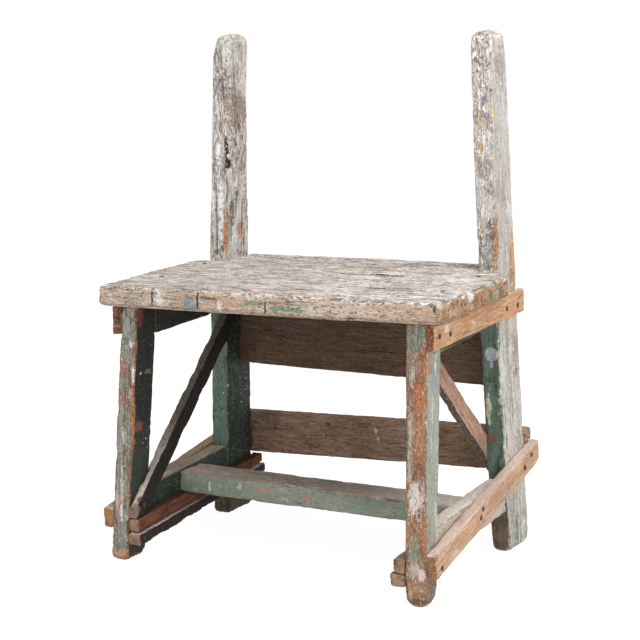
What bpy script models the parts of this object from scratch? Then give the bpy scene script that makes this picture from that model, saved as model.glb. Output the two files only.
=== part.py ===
"""A hand-made workshop stool. Two short front legs and two long hewn rear posts stand splayed
on the floor. Side rails and aprons are tenoned between them, a cross stretcher is tenoned
between the rails, and a thick seat is notched round the posts. Battens, boards, strips and
braces were nailed on later. Metres, +Z up, the front is at -Y and the right end at +X."""

import math
from dataclasses import dataclass

import bmesh
import bpy
from mathutils import Matrix, Vector

# Fit
FIT = 0.0003
OVERRUN = 0.02
MERGE = 0.00001
FLAT_ANGLE = math.radians(0.05)
UNIT_HALF_SHARE = 0.5

# Seat, a slab that isn't quite level: its right end and its back stand a little high
SEAT_HEIGHT = 0.454
SEAT_LENGTH = 0.5855
SEAT_DEPTH = 0.392
SEAT_THICKNESS = 0.0333
LEG_TOP = SEAT_HEIGHT - SEAT_THICKNESS
SEAT_RISE_RIGHT = math.radians(1.13)
SEAT_RISE_BACK = math.radians(1.1)
SEAT_EDGE_WEAR = 0.0055
SEAT_LEFT_CORNER_CUT = 0.020
SEAT_RIGHT_CORNER_CUT = 0.036
SEAT_CORNER_LAND = 0.008
SEAT_NOTCH_BITE = 0.0012

# Front legs: how far the seat stands past each leg's top, and each foot past its top
FRONT_LEFT_SEAT_PAST = 0.0373
FRONT_LEFT_SPLAY = 0.0239
FRONT_LEFT_SEAT_AHEAD = 0.0147
FRONT_LEFT_RAKE = 0.0091
FRONT_LEFT_WIDTH = 0.0307
FRONT_LEFT_FOOT_DEPTH = 0.0540
FRONT_LEFT_TOP_DEPTH = 0.0560
FRONT_RIGHT_SEAT_PAST = 0.0230
FRONT_RIGHT_SPLAY = 0.0060
FRONT_RIGHT_SEAT_AHEAD = 0.0104
FRONT_RIGHT_RAKE = 0.0107
FRONT_RIGHT_WIDTH = 0.0340
FRONT_RIGHT_FOOT_DEPTH = 0.0425
FRONT_RIGHT_TOP_DEPTH = 0.0530

# Rear posts: plank-like below the seat, kicked back to the foot and drawn in above
POST_WIDTH = 0.0320
POST_CROWN_WIDTH = 0.0340
POST_DEPTH = 0.0830
POST_SEAT_DEPTH = 0.0800
POST_WAIST_DEPTH = 0.0725
POST_CROWN_DEPTH = 0.0595
POST_NOTCH_DEPTH = 0.0930
POST_RAKE = 0.0245
POST_WAIST_SHARE = 0.5
REAR_LEFT_SEAT_PAST = 0.0283
REAR_LEFT_SPLAY = 0.0121
REAR_LEFT_CROWN_IN = 0.0126
REAR_LEFT_RISE = 0.3760
REAR_RIGHT_SEAT_PAST = 0.0311
REAR_RIGHT_SPLAY = 0.0189
REAR_RIGHT_CROWN_IN = 0.0170
REAR_RIGHT_RISE = 0.3835
CROWN_ROUND = 0.013
CROWN_STEPS = 4
FOOT_ROUND = 0.005
ARRIS_WEAR = 0.0025

# Side rails and aprons, tenoned between the front legs and the posts
RAIL_HEIGHT = 0.055
RAIL_WIDTH = 0.0275
RAIL_FRONT_LEVEL = 0.0838
RAIL_BACK_LEVEL = 0.0979
APRON_HEIGHT = 0.0505
APRON_DROP = 0.001
TENON_LENGTH = 0.022
TENON_THICKNESS = 0.010
TENON_HEIGHT = 0.030

# Cross stretcher between the rails
STRETCHER_DEPTH = 0.066
STRETCHER_HEIGHT = 0.034
STRETCHER_ABOVE_RAIL = 0.0066
STRETCHER_BEHIND_RAIL = 0.0064
STRETCHER_TENON_LENGTH = 0.010
STRETCHER_TENON_DEPTH = 0.046
STRETCHER_TENON_HEIGHT = 0.016

# Battens nailed outside the legs
UPPER_LEFT_BATTEN_THICKNESS = 0.0170
UPPER_LEFT_BATTEN_HEIGHT = 0.0450
UPPER_RIGHT_BATTEN_THICKNESS = 0.0120
UPPER_RIGHT_BATTEN_HEIGHT = 0.0376
UPPER_BATTEN_FRONT_DROP = 0.0010
UPPER_BATTEN_BACK_DROP = 0.0045
UPPER_BATTEN_PAST_POST = 0.0090
LOWER_BATTEN_THICKNESS = 0.0180
LOWER_LEFT_BATTEN_HEIGHT = 0.0335
LOWER_LEFT_BATTEN_PAST_POST = 0.0185
LOWER_RIGHT_BATTEN_HEIGHT = 0.0375
LOWER_RIGHT_BATTEN_PAST_POST = 0.0285
LEFT_BATTEN_FRONT_LEVEL = 0.0674
LEFT_BATTEN_BACK_LEVEL = 0.1290
RIGHT_BATTEN_FRONT_LEVEL = 0.0643
RIGHT_BATTEN_BACK_LEVEL = 0.1525
BATTEN_AHEAD = 0.0005
HOUSING = 0.0008

# Strips nailed inside the legs in two layers, lower and thicker below
STRIP_THICKNESS = 0.0195
LOWER_STRIP_THICKNESS = 0.0245
STRIP_PAST_POST = 0.0048
LEFT_STRIP_HEIGHT = 0.0242
LEFT_STRIP_BACK_HEIGHT = 0.0165
RIGHT_STRIP_HEIGHT = 0.0225
RIGHT_STRIP_BACK_HEIGHT = 0.0200
LOWER_STRIP_HEIGHT = 0.0200
LOWER_STRIP_BACK_HEIGHT = 0.0150
STRIP_FRONT_JOINT = 0.0483
STRIP_BACK_JOINT = 0.0785

# Back boards
UPPER_BOARD_THICKNESS = 0.020
UPPER_BOARD_DROP = 0.1542
UPPER_BOARD_SETBACK = 0.0510
UPPER_BOARD_HOUSING = 0.0080
LOWER_BOARD_THICKNESS = 0.020
LOWER_BOARD_HEIGHT = 0.0734
LOWER_BOARD_LEFT_LEVEL = 0.1334
LOWER_BOARD_RIGHT_LEVEL = 0.1553
LOWER_BOARD_LEFT_PAST_POST = 0.0069
LOWER_BOARD_RIGHT_PAST_POST = 0.0045

# Braces nailed inside the legs, crossing the sides in opposite directions
BRACE_THICKNESS = 0.0160
BRACE_WIDTH = 0.0290
BRACE_RUN_ON = 0.0400
LEFT_BRACE_FOOT = 0.0709
LEFT_BRACE_HEAD_DROP = 0.0107
RIGHT_BRACE_FOOT = 0.1018
RIGHT_BRACE_HEAD_DROP = 0.0315
RIGHT_BRACE_LAP = 0.0090

# Worn edges of the sawn pieces
BOARD_WEAR = 0.0018
BATTEN_WEAR = 0.0012
WEAR_SEGMENTS = 2
WEAR_ANGLE = math.radians(40)

# Cut nails with square shanks
NAIL_BITE = 0.0150
SEAT_NAIL_BITE = 0.0250
NAIL_SHANK = 0.0032
NAIL_TIP = 0.0016
NAIL_TAPER_SHARE = 0.5
NAIL_HEAD = 0.0064
NAIL_HEAD_THICKNESS = 0.0018
NAIL_SUNK = 0.0012

# Nail places, as shares across the leg's depth from its front face, and up the member
UPPER_FRONT_NAIL_SHARES = ((0.40, 0.02),)
UPPER_REAR_NAIL_SHARES = ((0.13, -0.05), (0.73, -0.10))
UPPER_APRON_NAIL_SHARES = ((0.08, -0.06),)
LOWER_FRONT_NAIL_SHARES = ((0.41, -0.23),)
LOWER_REAR_NAIL_SHARES = ((0.49, -0.05), (0.85, 0.20))
LOWER_RAIL_NAIL_SHARES = ((0.496, 0.26), (0.462, 0))
STRIP_FRONT_NAIL_SHARE = 0.22
STRIP_REAR_NAIL_SHARE = 0.60
BOARD_NAIL_SHARES = (-0.27, 0.25)
SEAT_NAIL_SHARES = (0.22, 0.78)
BRACE_LOW_NAIL_SHARE = 0.62
LEFT_BRACE_HIGH_NAIL_SHARE = 0.46
RIGHT_BRACE_HIGH_NAIL_SHARE = 1.30

LEFT, RIGHT = -1, 1
SIDES = {"left": LEFT, "right": RIGHT}

PAINT_GREEN = (0.13, 0.24, 0.17)
WORN_GREY = (0.42, 0.39, 0.34)
RAW_BATTEN = (0.52, 0.33, 0.20)
OLD_BROWN = (0.19, 0.12, 0.08)
STRIP_BROWN = (0.27, 0.14, 0.08)
RUST = (0.09, 0.05, 0.03)


def new_collection(name):
    made = bpy.data.collections.new(name)
    bpy.context.scene.collection.children.link(made)
    return made


def clear_scene():
    for old in list(bpy.data.objects):
        bpy.data.objects.remove(old)


clear_scene()
STOOL = new_collection("workshop_stool")
CUTTERS = new_collection("stool_cutters")
CUTTERS.hide_render = True


def keep_in(obj, collection):
    for holder in list(obj.users_collection):
        holder.objects.unlink(obj)
    collection.objects.link(obj)


def finish_name(name):
    """The finish of a piece, from the words of its name."""
    if "nail" in name:
        return "rusty_iron", RUST, 0.7, 0.9
    if "batten" in name:
        return "raw_batten_wood", RAW_BATTEN, 0.75, 0
    if "strip" in name:
        return "strip_brown_wood", STRIP_BROWN, 0.8, 0
    if "board" in name or "brace" in name:
        return "old_brown_wood", OLD_BROWN, 0.8, 0
    if "seat" in name or "post" in name:
        return "weathered_painted_wood", WORN_GREY, 0.85, 0
    return "worn_green_paint", PAINT_GREEN, 0.7, 0


def give_material(obj, name):
    title, colour, roughness, metallic = finish_name(name)
    material = bpy.data.materials.get(title) or bpy.data.materials.new(title)
    material.use_nodes = True
    shader = material.node_tree.nodes["Principled BSDF"]
    shader.inputs["Base Color"].default_value = (*colour, 1)
    shader.inputs["Roughness"].default_value = roughness
    shader.inputs["Metallic"].default_value = metallic
    obj.data.materials.clear()
    obj.data.materials.append(material)


def unit_cube(name):
    bpy.ops.mesh.primitive_cube_add(size=1)
    obj = bpy.context.object
    obj.name = name
    return obj


def move_corners(obj, rings, place):
    """Slices the unit cube along its Z into rings and puts each corner where place says."""
    mesh = bmesh.new()
    mesh.from_mesh(obj.data)
    steps = len(rings) - 1
    for step in range(1, steps):
        level = Vector((0, 0, step / steps - UNIT_HALF_SHARE))
        everything = mesh.verts[:] + mesh.edges[:] + mesh.faces[:]
        bmesh.ops.bisect_plane(mesh, geom=everything, plane_co=level, plane_no=(0, 0, 1))
    for corner in mesh.verts:
        ring = rings[round((corner.co.z + UNIT_HALF_SHARE) * steps)]
        corner.co = place(ring, corner.co.x > 0, corner.co.y > 0)
    mesh.to_mesh(obj.data)
    mesh.free()


def between(low, high, share):
    return low + (high - low) * share


@dataclass
class Section:
    """A level across a hewn piece: its height and the places of its four faces."""

    z: float
    left: float
    right: float
    front: float
    back: float

    def grown(self, by):
        return Section(self.z, self.left - by, self.right + by, self.front - by, self.back + by)


@dataclass
class Hewn:
    """A standing timber hewn through a list of sections, lowest first."""

    sections: list

    def build(self, name, grow=0):
        """The timber itself or, when it is grown, its space, which runs on below the floor."""
        sections = [self.at(-OVERRUN)] + self.sections[2:] if grow else self.sections
        rings = [section.grown(grow) for section in sections]
        obj = unit_cube(name)
        move_corners(
            obj,
            rings,
            lambda ring, right, back: (
                ring.right if right else ring.left,
                ring.back if back else ring.front,
                ring.z,
            ),
        )
        return obj

    def at(self, z):
        """The section at a height."""
        spans = list(zip(self.sections[1:], self.sections[2:]))
        low, high = next((pair for pair in spans if pair[1].z >= z), spans[-1])
        share = (z - low.z) / (high.z - low.z)
        return Section(
            z,
            between(low.left, high.left, share),
            between(low.right, high.right, share),
            between(low.front, high.front, share),
            between(low.back, high.back, share),
        )


@dataclass
class Bar:
    """A sawn length from one end's centre to the other's, with its width sideways."""

    start: Vector
    end: Vector
    width: float
    height: float
    end_height: float = 0

    def axes(self):
        along = (self.end - self.start).normalized()
        side = Vector((0, 0, 1)).cross(along).normalized()
        return along, side, along.cross(side)

    def matrix(self):
        along, side, up = self.axes()
        turn = Matrix((side, up, along)).transposed().to_4x4()
        return Matrix.Translation(self.start) @ turn

    def build(self, name, grow=0):
        length = (self.end - self.start).length
        heights = (self.height, self.end_height or self.height)
        rings = [(-grow, heights[0] / 2 + grow), (length + grow, heights[1] / 2 + grow)]
        half = self.width / 2 + grow
        obj = unit_cube(name)
        move_corners(
            obj,
            rings,
            lambda ring, right, back: (
                half if right else -half,
                ring[1] if back else -ring[1],
                ring[0],
            ),
        )
        obj.data.transform(self.matrix())
        return obj

    def point(self, y, up_share, side):
        """A point of the side face at a Y place, a share of the height above its middle."""
        along, sideways, up = self.axes()
        share = (y - self.start.y) / (self.end.y - self.start.y)
        middle = self.start.lerp(self.end, share)
        reach = sideways * math.copysign(self.width / 2, side * sideways.x)
        return middle + up * self.height * up_share + reach


def seat_plane(x, y, drop=0):
    """The height of the seat's underside over a place, less a drop."""
    tilt = x * math.tan(SEAT_RISE_RIGHT) + y * math.tan(SEAT_RISE_BACK)
    return SEAT_HEIGHT - SEAT_THICKNESS + tilt - drop


def faces_of(side, out, width):
    """Left and right faces of a leg whose outer face is this far out."""
    inner = out - width
    return (-out, -inner) if side == LEFT else (inner, out)


def level_section(side, z, out, width, front, depth):
    left, right = faces_of(side, out, width)
    return Section(z, left, right, front, front + depth)


def with_worn_foot(sections):
    """Draws the foot in a little where it meets the floor."""
    leg = Hewn([sections[0]] + sections)
    above = leg.at(FOOT_ROUND)
    floor = sections[0].grown(-FOOT_ROUND)
    return [floor, above] + sections[1:]


def front_leg(side, width, past, splay, ahead, rake, depths):
    """A front leg placed from the seat's end and front edge, run on up past the seat."""
    top_out, top_front = SEAT_LENGTH / 2 - past, ahead - SEAT_DEPTH / 2
    foot_and_top = []
    for level in (0, LEG_TOP + OVERRUN):
        share = level / LEG_TOP
        out = between(top_out + splay, top_out, share)
        front = between(top_front - rake, top_front, share)
        foot_and_top.append(
            level_section(side, level, out, width, front, between(*depths, share))
        )
    return Hewn(with_worn_foot(foot_and_top))


def rear_post(side, past, splay, crown_in, rise):
    """Raked and splayed up to the seat, then slimmer and upright to a rounded crown."""
    seat_out, front = SEAT_LENGTH / 2 - past, SEAT_DEPTH / 2 - POST_NOTCH_DEPTH
    crown_out = seat_out - crown_in
    shoulder = SEAT_HEIGHT + rise - CROWN_ROUND
    waist_level = between(SEAT_HEIGHT, shoulder, POST_WAIST_SHARE)
    waist_share = (waist_level - LEG_TOP) / (shoulder - LEG_TOP)
    foot = level_section(side, 0, seat_out + splay, POST_WIDTH, front + POST_RAKE, POST_DEPTH)
    seat = level_section(side, LEG_TOP, seat_out, POST_WIDTH, front, POST_DEPTH)
    neck = level_section(
        side, SEAT_HEIGHT + FOOT_ROUND, seat_out, POST_WIDTH, front, POST_SEAT_DEPTH
    )
    waist = level_section(
        side,
        waist_level,
        between(seat_out, crown_out, waist_share),
        between(POST_WIDTH, POST_CROWN_WIDTH, waist_share),
        front,
        POST_WAIST_DEPTH,
    )
    crown = level_section(side, shoulder, crown_out, POST_CROWN_WIDTH, front, POST_CROWN_DEPTH)
    sections = [foot, seat, neck, waist, crown]
    for step in range(1, CROWN_STEPS + 1):
        turn = math.radians(90) * step / CROWN_STEPS
        ring = crown.grown(-CROWN_ROUND * (1 - math.cos(turn)))
        ring.z = shoulder + CROWN_ROUND * math.sin(turn)
        sections.append(ring)
    return Hewn(with_worn_foot(sections))


FORMS = {
    "front_leg_left": front_leg(
        LEFT,
        FRONT_LEFT_WIDTH,
        FRONT_LEFT_SEAT_PAST,
        FRONT_LEFT_SPLAY,
        FRONT_LEFT_SEAT_AHEAD,
        FRONT_LEFT_RAKE,
        (FRONT_LEFT_FOOT_DEPTH, FRONT_LEFT_TOP_DEPTH),
    ),
    "front_leg_right": front_leg(
        RIGHT,
        FRONT_RIGHT_WIDTH,
        FRONT_RIGHT_SEAT_PAST,
        FRONT_RIGHT_SPLAY,
        FRONT_RIGHT_SEAT_AHEAD,
        FRONT_RIGHT_RAKE,
        (FRONT_RIGHT_FOOT_DEPTH, FRONT_RIGHT_TOP_DEPTH),
    ),
    "rear_post_left": rear_post(
        LEFT, REAR_LEFT_SEAT_PAST, REAR_LEFT_SPLAY, REAR_LEFT_CROWN_IN, REAR_LEFT_RISE
    ),
    "rear_post_right": rear_post(
        RIGHT, REAR_RIGHT_SEAT_PAST, REAR_RIGHT_SPLAY, REAR_RIGHT_CROWN_IN, REAR_RIGHT_RISE
    ),
}


def middle_x(section):
    return (section.left + section.right) / 2


def outer_x(section, side):
    return section.left if side == LEFT else section.right


def inner_x(section, side):
    return section.right if side == LEFT else section.left


def legs_of(word):
    return FORMS["front_leg_" + word], FORMS["rear_post_" + word]


def tenoned_pair(word, front_z, back_z, height):
    """A rail between a front leg and a post, and the tenon bar that runs on into both."""
    front, back = legs_of(word)
    near, far = front.at(front_z), back.at(back_z)
    direction = Vector((middle_x(far) - middle_x(near), far.front - near.back, back_z - front_z))
    start = Vector((middle_x(near), near.back, front_z))
    end = Vector((middle_x(far), far.front, back_z))
    step = direction.normalized() * TENON_LENGTH
    rail = Bar(start - step / 2, end + step / 2, RAIL_WIDTH, height)
    return rail, Bar(start - step, end + step, TENON_THICKNESS, TENON_HEIGHT)


def side_member(word, side, face, front_z, back_z, past, thickness, height, back_height=0):
    """A length lying along the outer or inner faces of a front leg and a post, and past it."""
    front, back = legs_of(word)
    out = side if face is outer_x else -side
    reach = out * (thickness / 2 - HOUSING)
    near, far = front.at(front_z), back.at(back_z)
    near_x, far_x = face(near, side) + reach, face(far, side) + reach
    front_end = near.front - BATTEN_AHEAD
    far_y = (far.front + far.back) / 2
    near_y = (near.front + near.back) / 2
    slope = (far_x - near_x) / (far_y - near_y)
    back_end = far.back + past
    start = Vector((near_x + slope * (front_end - near_y), front_end, front_z))
    end = Vector((near_x + slope * (back_end - near_y), back_end, back_z))
    return Bar(start, end, thickness, height, back_height)


def side_forms(word, side):
    """Adds the forms of one side's rail, apron, battens, strips and brace."""
    front, back = legs_of(word)
    rail = tenoned_pair(word, RAIL_FRONT_LEVEL, RAIL_BACK_LEVEL, RAIL_HEIGHT)
    FORMS["lower_rail_" + word], FORMS["rail_tenon_" + word] = rail

    under = APRON_DROP + APRON_HEIGHT / 2
    front_x, back_x = middle_x(front.at(LEG_TOP)), middle_x(back.at(LEG_TOP))
    apron = tenoned_pair(
        word,
        seat_plane(front_x, front.at(LEG_TOP).back, under),
        seat_plane(back_x, back.at(LEG_TOP).front, under),
        APRON_HEIGHT,
    )
    FORMS["upper_apron_" + word], FORMS["apron_tenon_" + word] = apron

    thickness, height = {
        LEFT: (UPPER_LEFT_BATTEN_THICKNESS, UPPER_LEFT_BATTEN_HEIGHT),
        RIGHT: (UPPER_RIGHT_BATTEN_THICKNESS, UPPER_RIGHT_BATTEN_HEIGHT),
    }[side]
    half = height / 2
    front_z = seat_plane(front_x, front.at(LEG_TOP).front, UPPER_BATTEN_FRONT_DROP + half)
    back_z = seat_plane(back_x, back.at(LEG_TOP).back, UPPER_BATTEN_BACK_DROP + half)
    FORMS["upper_batten_" + word] = side_member(
        word, side, outer_x, front_z, back_z, UPPER_BATTEN_PAST_POST, thickness, height
    )
    front_z, back_z, past, height = {
        LEFT: (
            LEFT_BATTEN_FRONT_LEVEL, LEFT_BATTEN_BACK_LEVEL,
            LOWER_LEFT_BATTEN_PAST_POST, LOWER_LEFT_BATTEN_HEIGHT,
        ),
        RIGHT: (
            RIGHT_BATTEN_FRONT_LEVEL, RIGHT_BATTEN_BACK_LEVEL,
            LOWER_RIGHT_BATTEN_PAST_POST, LOWER_RIGHT_BATTEN_HEIGHT,
        ),
    }[side]
    FORMS["lower_batten_" + word] = side_member(
        word, side, outer_x, front_z, back_z, past, LOWER_BATTEN_THICKNESS, height
    )

    heights = {
        LEFT: (LEFT_STRIP_HEIGHT, LEFT_STRIP_BACK_HEIGHT),
        RIGHT: (RIGHT_STRIP_HEIGHT, RIGHT_STRIP_BACK_HEIGHT),
    }[side]
    FORMS["upper_strip_" + word] = side_member(
        word, side, inner_x,
        STRIP_FRONT_JOINT + heights[0] / 2, STRIP_BACK_JOINT + heights[1] / 2, STRIP_PAST_POST,
        STRIP_THICKNESS, *heights,
    )
    FORMS["lower_strip_" + word] = side_member(
        word, side, inner_x,
        STRIP_FRONT_JOINT - LOWER_STRIP_HEIGHT / 2 - FIT,
        STRIP_BACK_JOINT - LOWER_STRIP_BACK_HEIGHT / 2 - FIT,
        STRIP_PAST_POST, LOWER_STRIP_THICKNESS, LOWER_STRIP_HEIGHT, LOWER_STRIP_BACK_HEIGHT,
    )


def brace_bar(word, side, low_y, low_z, high_y, high_z):
    """A brace lying on the inner faces, from its low end on up past its high end."""
    front, back = legs_of(word)
    low_leg, high_leg = (front, back) if low_y < high_y else (back, front)
    reach = -side * (BRACE_THICKNESS / 2 - HOUSING)
    low = Vector((inner_x(low_leg.at(low_z), side) + reach, low_y, low_z))
    high = Vector((inner_x(high_leg.at(high_z), side) + reach, high_y, high_z))
    run_on = (high - low).normalized() * BRACE_RUN_ON
    return Bar(low, high + run_on, BRACE_THICKNESS, BRACE_WIDTH)


def brace_forms():
    """The left brace climbs back from its leg's foot to the upper board, and the right one
    climbs forward from its post's foot to its leg's top."""
    board = FORMS["upper_back_board"]
    FORMS["brace_left"] = brace_bar(
        "left",
        LEFT,
        FORMS["front_leg_left"].at(LEFT_BRACE_FOOT).front,
        LEFT_BRACE_FOOT,
        board.start.y - board.width / 2,
        LEG_TOP - LEFT_BRACE_HEAD_DROP,
    )
    head_z = LEG_TOP - RIGHT_BRACE_HEAD_DROP
    FORMS["brace_right"] = brace_bar(
        "right",
        RIGHT,
        FORMS["rear_post_right"].at(RIGHT_BRACE_FOOT).back,
        RIGHT_BRACE_FOOT,
        FORMS["front_leg_right"].at(head_z).back,
        head_z,
    )


def cross_forms():
    """Adds the pieces that run from side to side: the stretcher and the back boards."""
    rails = [FORMS["lower_rail_" + word] for word in SIDES]
    middles = [(rail.start + rail.end) / 2 for rail in rails]
    behind = sum(middle.y for middle in middles) / len(middles) + STRETCHER_BEHIND_RAIL
    level = sum(middle.z for middle in middles) / len(middles) + STRETCHER_ABOVE_RAIL
    left, right = [Vector((middle.x, behind, level)) for middle in middles]
    FORMS["cross_stretcher"] = Bar(left, right, STRETCHER_DEPTH, STRETCHER_HEIGHT)
    inset = Vector((RAIL_WIDTH / 2 - STRETCHER_TENON_LENGTH, 0, 0))
    FORMS["stretcher_tenon"] = Bar(
        left + inset, right - inset, STRETCHER_TENON_DEPTH, STRETCHER_TENON_HEIGHT
    )

    posts = [FORMS["rear_post_" + word] for word in SIDES]
    bottom, top = LEG_TOP - UPPER_BOARD_DROP, LEG_TOP + OVERRUN
    middle_z = (bottom + top) / 2
    board_y = posts[0].at(middle_z).front + UPPER_BOARD_SETBACK + UPPER_BOARD_THICKNESS / 2
    reach = [posts[0].at(bottom).right, posts[1].at(bottom).left]
    FORMS["upper_back_board"] = Bar(
        Vector((reach[0] - UPPER_BOARD_HOUSING, board_y, middle_z)),
        Vector((reach[1] + UPPER_BOARD_HOUSING, board_y, middle_z)),
        UPPER_BOARD_THICKNESS,
        top - bottom,
    )

    levels = (LOWER_BOARD_LEFT_LEVEL, LOWER_BOARD_RIGHT_LEVEL)
    pasts = (LOWER_BOARD_LEFT_PAST_POST, LOWER_BOARD_RIGHT_PAST_POST)
    behind = LOWER_BOARD_THICKNESS / 2 - HOUSING
    places = []
    for side, post, level, past in zip(SIDES.values(), posts, levels, pasts):
        section = post.at(sum(levels) / len(levels))
        places.append(Vector((outer_x(section, side) + side * past, section.back + behind, level)))
    FORMS["lower_back_board"] = Bar(*places, LOWER_BOARD_THICKNESS, LOWER_BOARD_HEIGHT)


for side_word, side_sign in SIDES.items():
    side_forms(side_word, side_sign)
cross_forms()
brace_forms()


def seat_outline():
    """Front corners, then each end, its cut corner and its notch round the post."""
    half_length, half_depth = SEAT_LENGTH / 2, SEAT_DEPTH / 2
    points = []
    ends = ((RIGHT, "right", SEAT_RIGHT_CORNER_CUT), (LEFT, "left", SEAT_LEFT_CORNER_CUT))
    for side, word, corner_cut in ends:
        post = FORMS["rear_post_" + word].at(SEAT_HEIGHT - SEAT_THICKNESS / 2)
        notch_front = post.front + SEAT_NOTCH_BITE
        notch_inner = abs(inner_x(post, side)) + SEAT_NOTCH_BITE
        land = abs(outer_x(post, side)) + SEAT_CORNER_LAND
        end = [
            (side * half_length, -half_depth),
            (side * half_length, notch_front - corner_cut),
            (side * land, notch_front),
            (side * notch_inner, notch_front),
            (side * notch_inner, half_depth),
        ]
        points += end if side == RIGHT else end[::-1]
    return points


def slab(name, outline, thickness):
    """A flat outline filled and given its thickness, as a clean mesh."""
    curve = bpy.data.curves.new(name + "_outline", "CURVE")
    curve.dimensions = "2D"
    curve.fill_mode = "BOTH"
    curve.extrude = thickness / 2
    spline = curve.splines.new("POLY")
    spline.points.add(len(outline) - 1)
    for point, (x, y) in zip(spline.points, outline):
        point.co = (x, y, 0, 1)
    spline.use_cyclic_u = True
    drawn = bpy.data.objects.new(name + "_outline", curve)
    CUTTERS.objects.link(drawn)
    graph = bpy.context.evaluated_depsgraph_get()
    mesh = bpy.data.meshes.new_from_object(drawn.evaluated_get(graph))
    bpy.data.objects.remove(drawn)
    clean = bmesh.new()
    clean.from_mesh(mesh)
    bmesh.ops.remove_doubles(clean, verts=clean.verts, dist=MERGE)
    bmesh.ops.dissolve_limit(
        clean, angle_limit=FLAT_ANGLE, verts=clean.verts, edges=clean.edges
    )
    clean.to_mesh(mesh)
    clean.free()
    return bpy.data.objects.new(name, mesh)


def tilt_to_seat(obj):
    """Lays a level piece centred on the origin at the seat's height and tilt."""
    rise = Matrix.Rotation(-SEAT_RISE_RIGHT, 4, "Y") @ Matrix.Rotation(SEAT_RISE_BACK, 4, "X")
    lift = Matrix.Translation((0, 0, SEAT_HEIGHT))
    drop = Matrix.Translation((0, 0, -SEAT_THICKNESS / 2))
    obj.data.transform(lift @ rise @ drop)


def seat_space():
    """The room that the seat takes, opened upwards, which trims what stands under it."""
    space = unit_cube("seat_space")
    wide = SEAT_LENGTH + 2 * OVERRUN
    deep = SEAT_DEPTH + 2 * OVERRUN
    tall = SEAT_THICKNESS + 2 * (FIT + OVERRUN)
    space.data.transform(Matrix.Diagonal((wide, deep, tall, 1)))
    space.data.transform(Matrix.Translation((0, 0, OVERRUN)))
    tilt_to_seat(space)
    return as_cutter(space)


def as_cutter(obj):
    keep_in(obj, CUTTERS)
    obj.hide_render = True
    obj.display_type = "WIRE"
    return obj


SPACES = {}


def space_of(name):
    """A form grown by the fit, kept as a cutter."""
    if name not in SPACES:
        SPACES[name] = as_cutter(FORMS[name].build(name + "_space", FIT))
    return SPACES[name]


def boolean(obj, other, operation="DIFFERENCE"):
    step = obj.modifiers.new(operation.lower() + "_" + other.name, "BOOLEAN")
    step.operation = operation
    step.solver = "EXACT"
    step.object = other


def wear(obj, width):
    step = obj.modifiers.new("worn_edges", "BEVEL")
    step.width = width
    step.segments = WEAR_SEGMENTS
    step.limit_method = "ANGLE"
    step.angle_limit = WEAR_ANGLE


def piece(name, wear_width, *spaces):
    """One finished piece: its form, worn edges, and the room its neighbours need cut out."""
    obj = FORMS[name].build(name)
    keep_in(obj, STOOL)
    give_material(obj, name)
    wear(obj, wear_width)
    for other in spaces:
        boolean(obj, space_of(other))
    return obj


def tenoned_piece(name, wear_width, tenon, *spaces):
    """A piece whose shoulders are scribed to its neighbours and whose tenon runs into them."""
    obj = piece(name, wear_width, *spaces)
    boolean(obj, as_cutter(FORMS[tenon].build(tenon)), "UNION")
    return obj


def nail_rings(length, grow):
    """Half width and place along the nail, from the tip to the top of the head."""
    neck = NAIL_SUNK - length
    return [
        (NAIL_TIP / 2 + grow, neck - grow),
        (NAIL_SHANK / 2 + grow, between(neck, 0, NAIL_TAPER_SHARE)),
        (NAIL_SHANK / 2 + grow, -NAIL_SUNK - grow),
        (NAIL_HEAD / 2 + grow, -NAIL_SUNK - grow),
        (NAIL_HEAD / 2 + grow, NAIL_HEAD_THICKNESS - NAIL_SUNK + grow),
    ]


def nail_mesh(length, point, inward, grow):
    nail = unit_cube("nail")
    move_corners(
        nail,
        nail_rings(length, grow),
        lambda ring, right, back: (
            ring[0] if right else -ring[0],
            ring[0] if back else -ring[0],
            ring[1],
        ),
    )
    turn = (-inward).to_track_quat("Z", "Y").to_matrix().to_4x4()
    nail.data.transform(Matrix.Translation(point) @ turn)
    return nail


def joined(objects):
    """One object holding all of these."""
    bpy.ops.object.select_all(action="DESELECT")
    for obj in objects:
        obj.select_set(True)
    bpy.context.view_layer.objects.active = objects[0]
    if len(objects) > 1:
        bpy.ops.object.join()
    return objects[0]


def nails(name, places, thickness, *pierced, bite=NAIL_BITE):
    """A nail driven inward at each place, through a thickness and on by its bite into what
    lies behind, and its hole in the pieces that it pierces."""
    holes = []
    length = thickness + bite
    for number, (point, inward) in enumerate(places, 1):
        nail = nail_mesh(length, point, inward.normalized(), 0)
        nail.name = f"{name}_{number}"
        keep_in(nail, STOOL)
        give_material(nail, nail.name)
        holes.append(nail_mesh(length, point, inward.normalized(), FIT))
    cutter = as_cutter(joined(holes))
    cutter.name = name + "_holes"
    for obj in pierced:
        boolean(obj, cutter)


PIECES = {}


def make_legs():
    for word in SIDES:
        leg = piece("front_leg_" + word, ARRIS_WEAR, "rail_tenon_" + word, "apron_tenon_" + word)
        boolean(leg, SPACES["seat"])
        PIECES["front_leg_" + word] = leg
        PIECES["rear_post_" + word] = piece(
            "rear_post_" + word, ARRIS_WEAR,
            "rail_tenon_" + word, "apron_tenon_" + word, "upper_back_board",
        )


def make_seat():
    seat = slab("seat", seat_outline(), SEAT_THICKNESS)
    tilt_to_seat(seat)
    keep_in(seat, STOOL)
    give_material(seat, "seat")
    wear(seat, SEAT_EDGE_WEAR)
    for word in SIDES:
        boolean(seat, space_of("rear_post_" + word))
    PIECES["seat"] = seat


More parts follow.
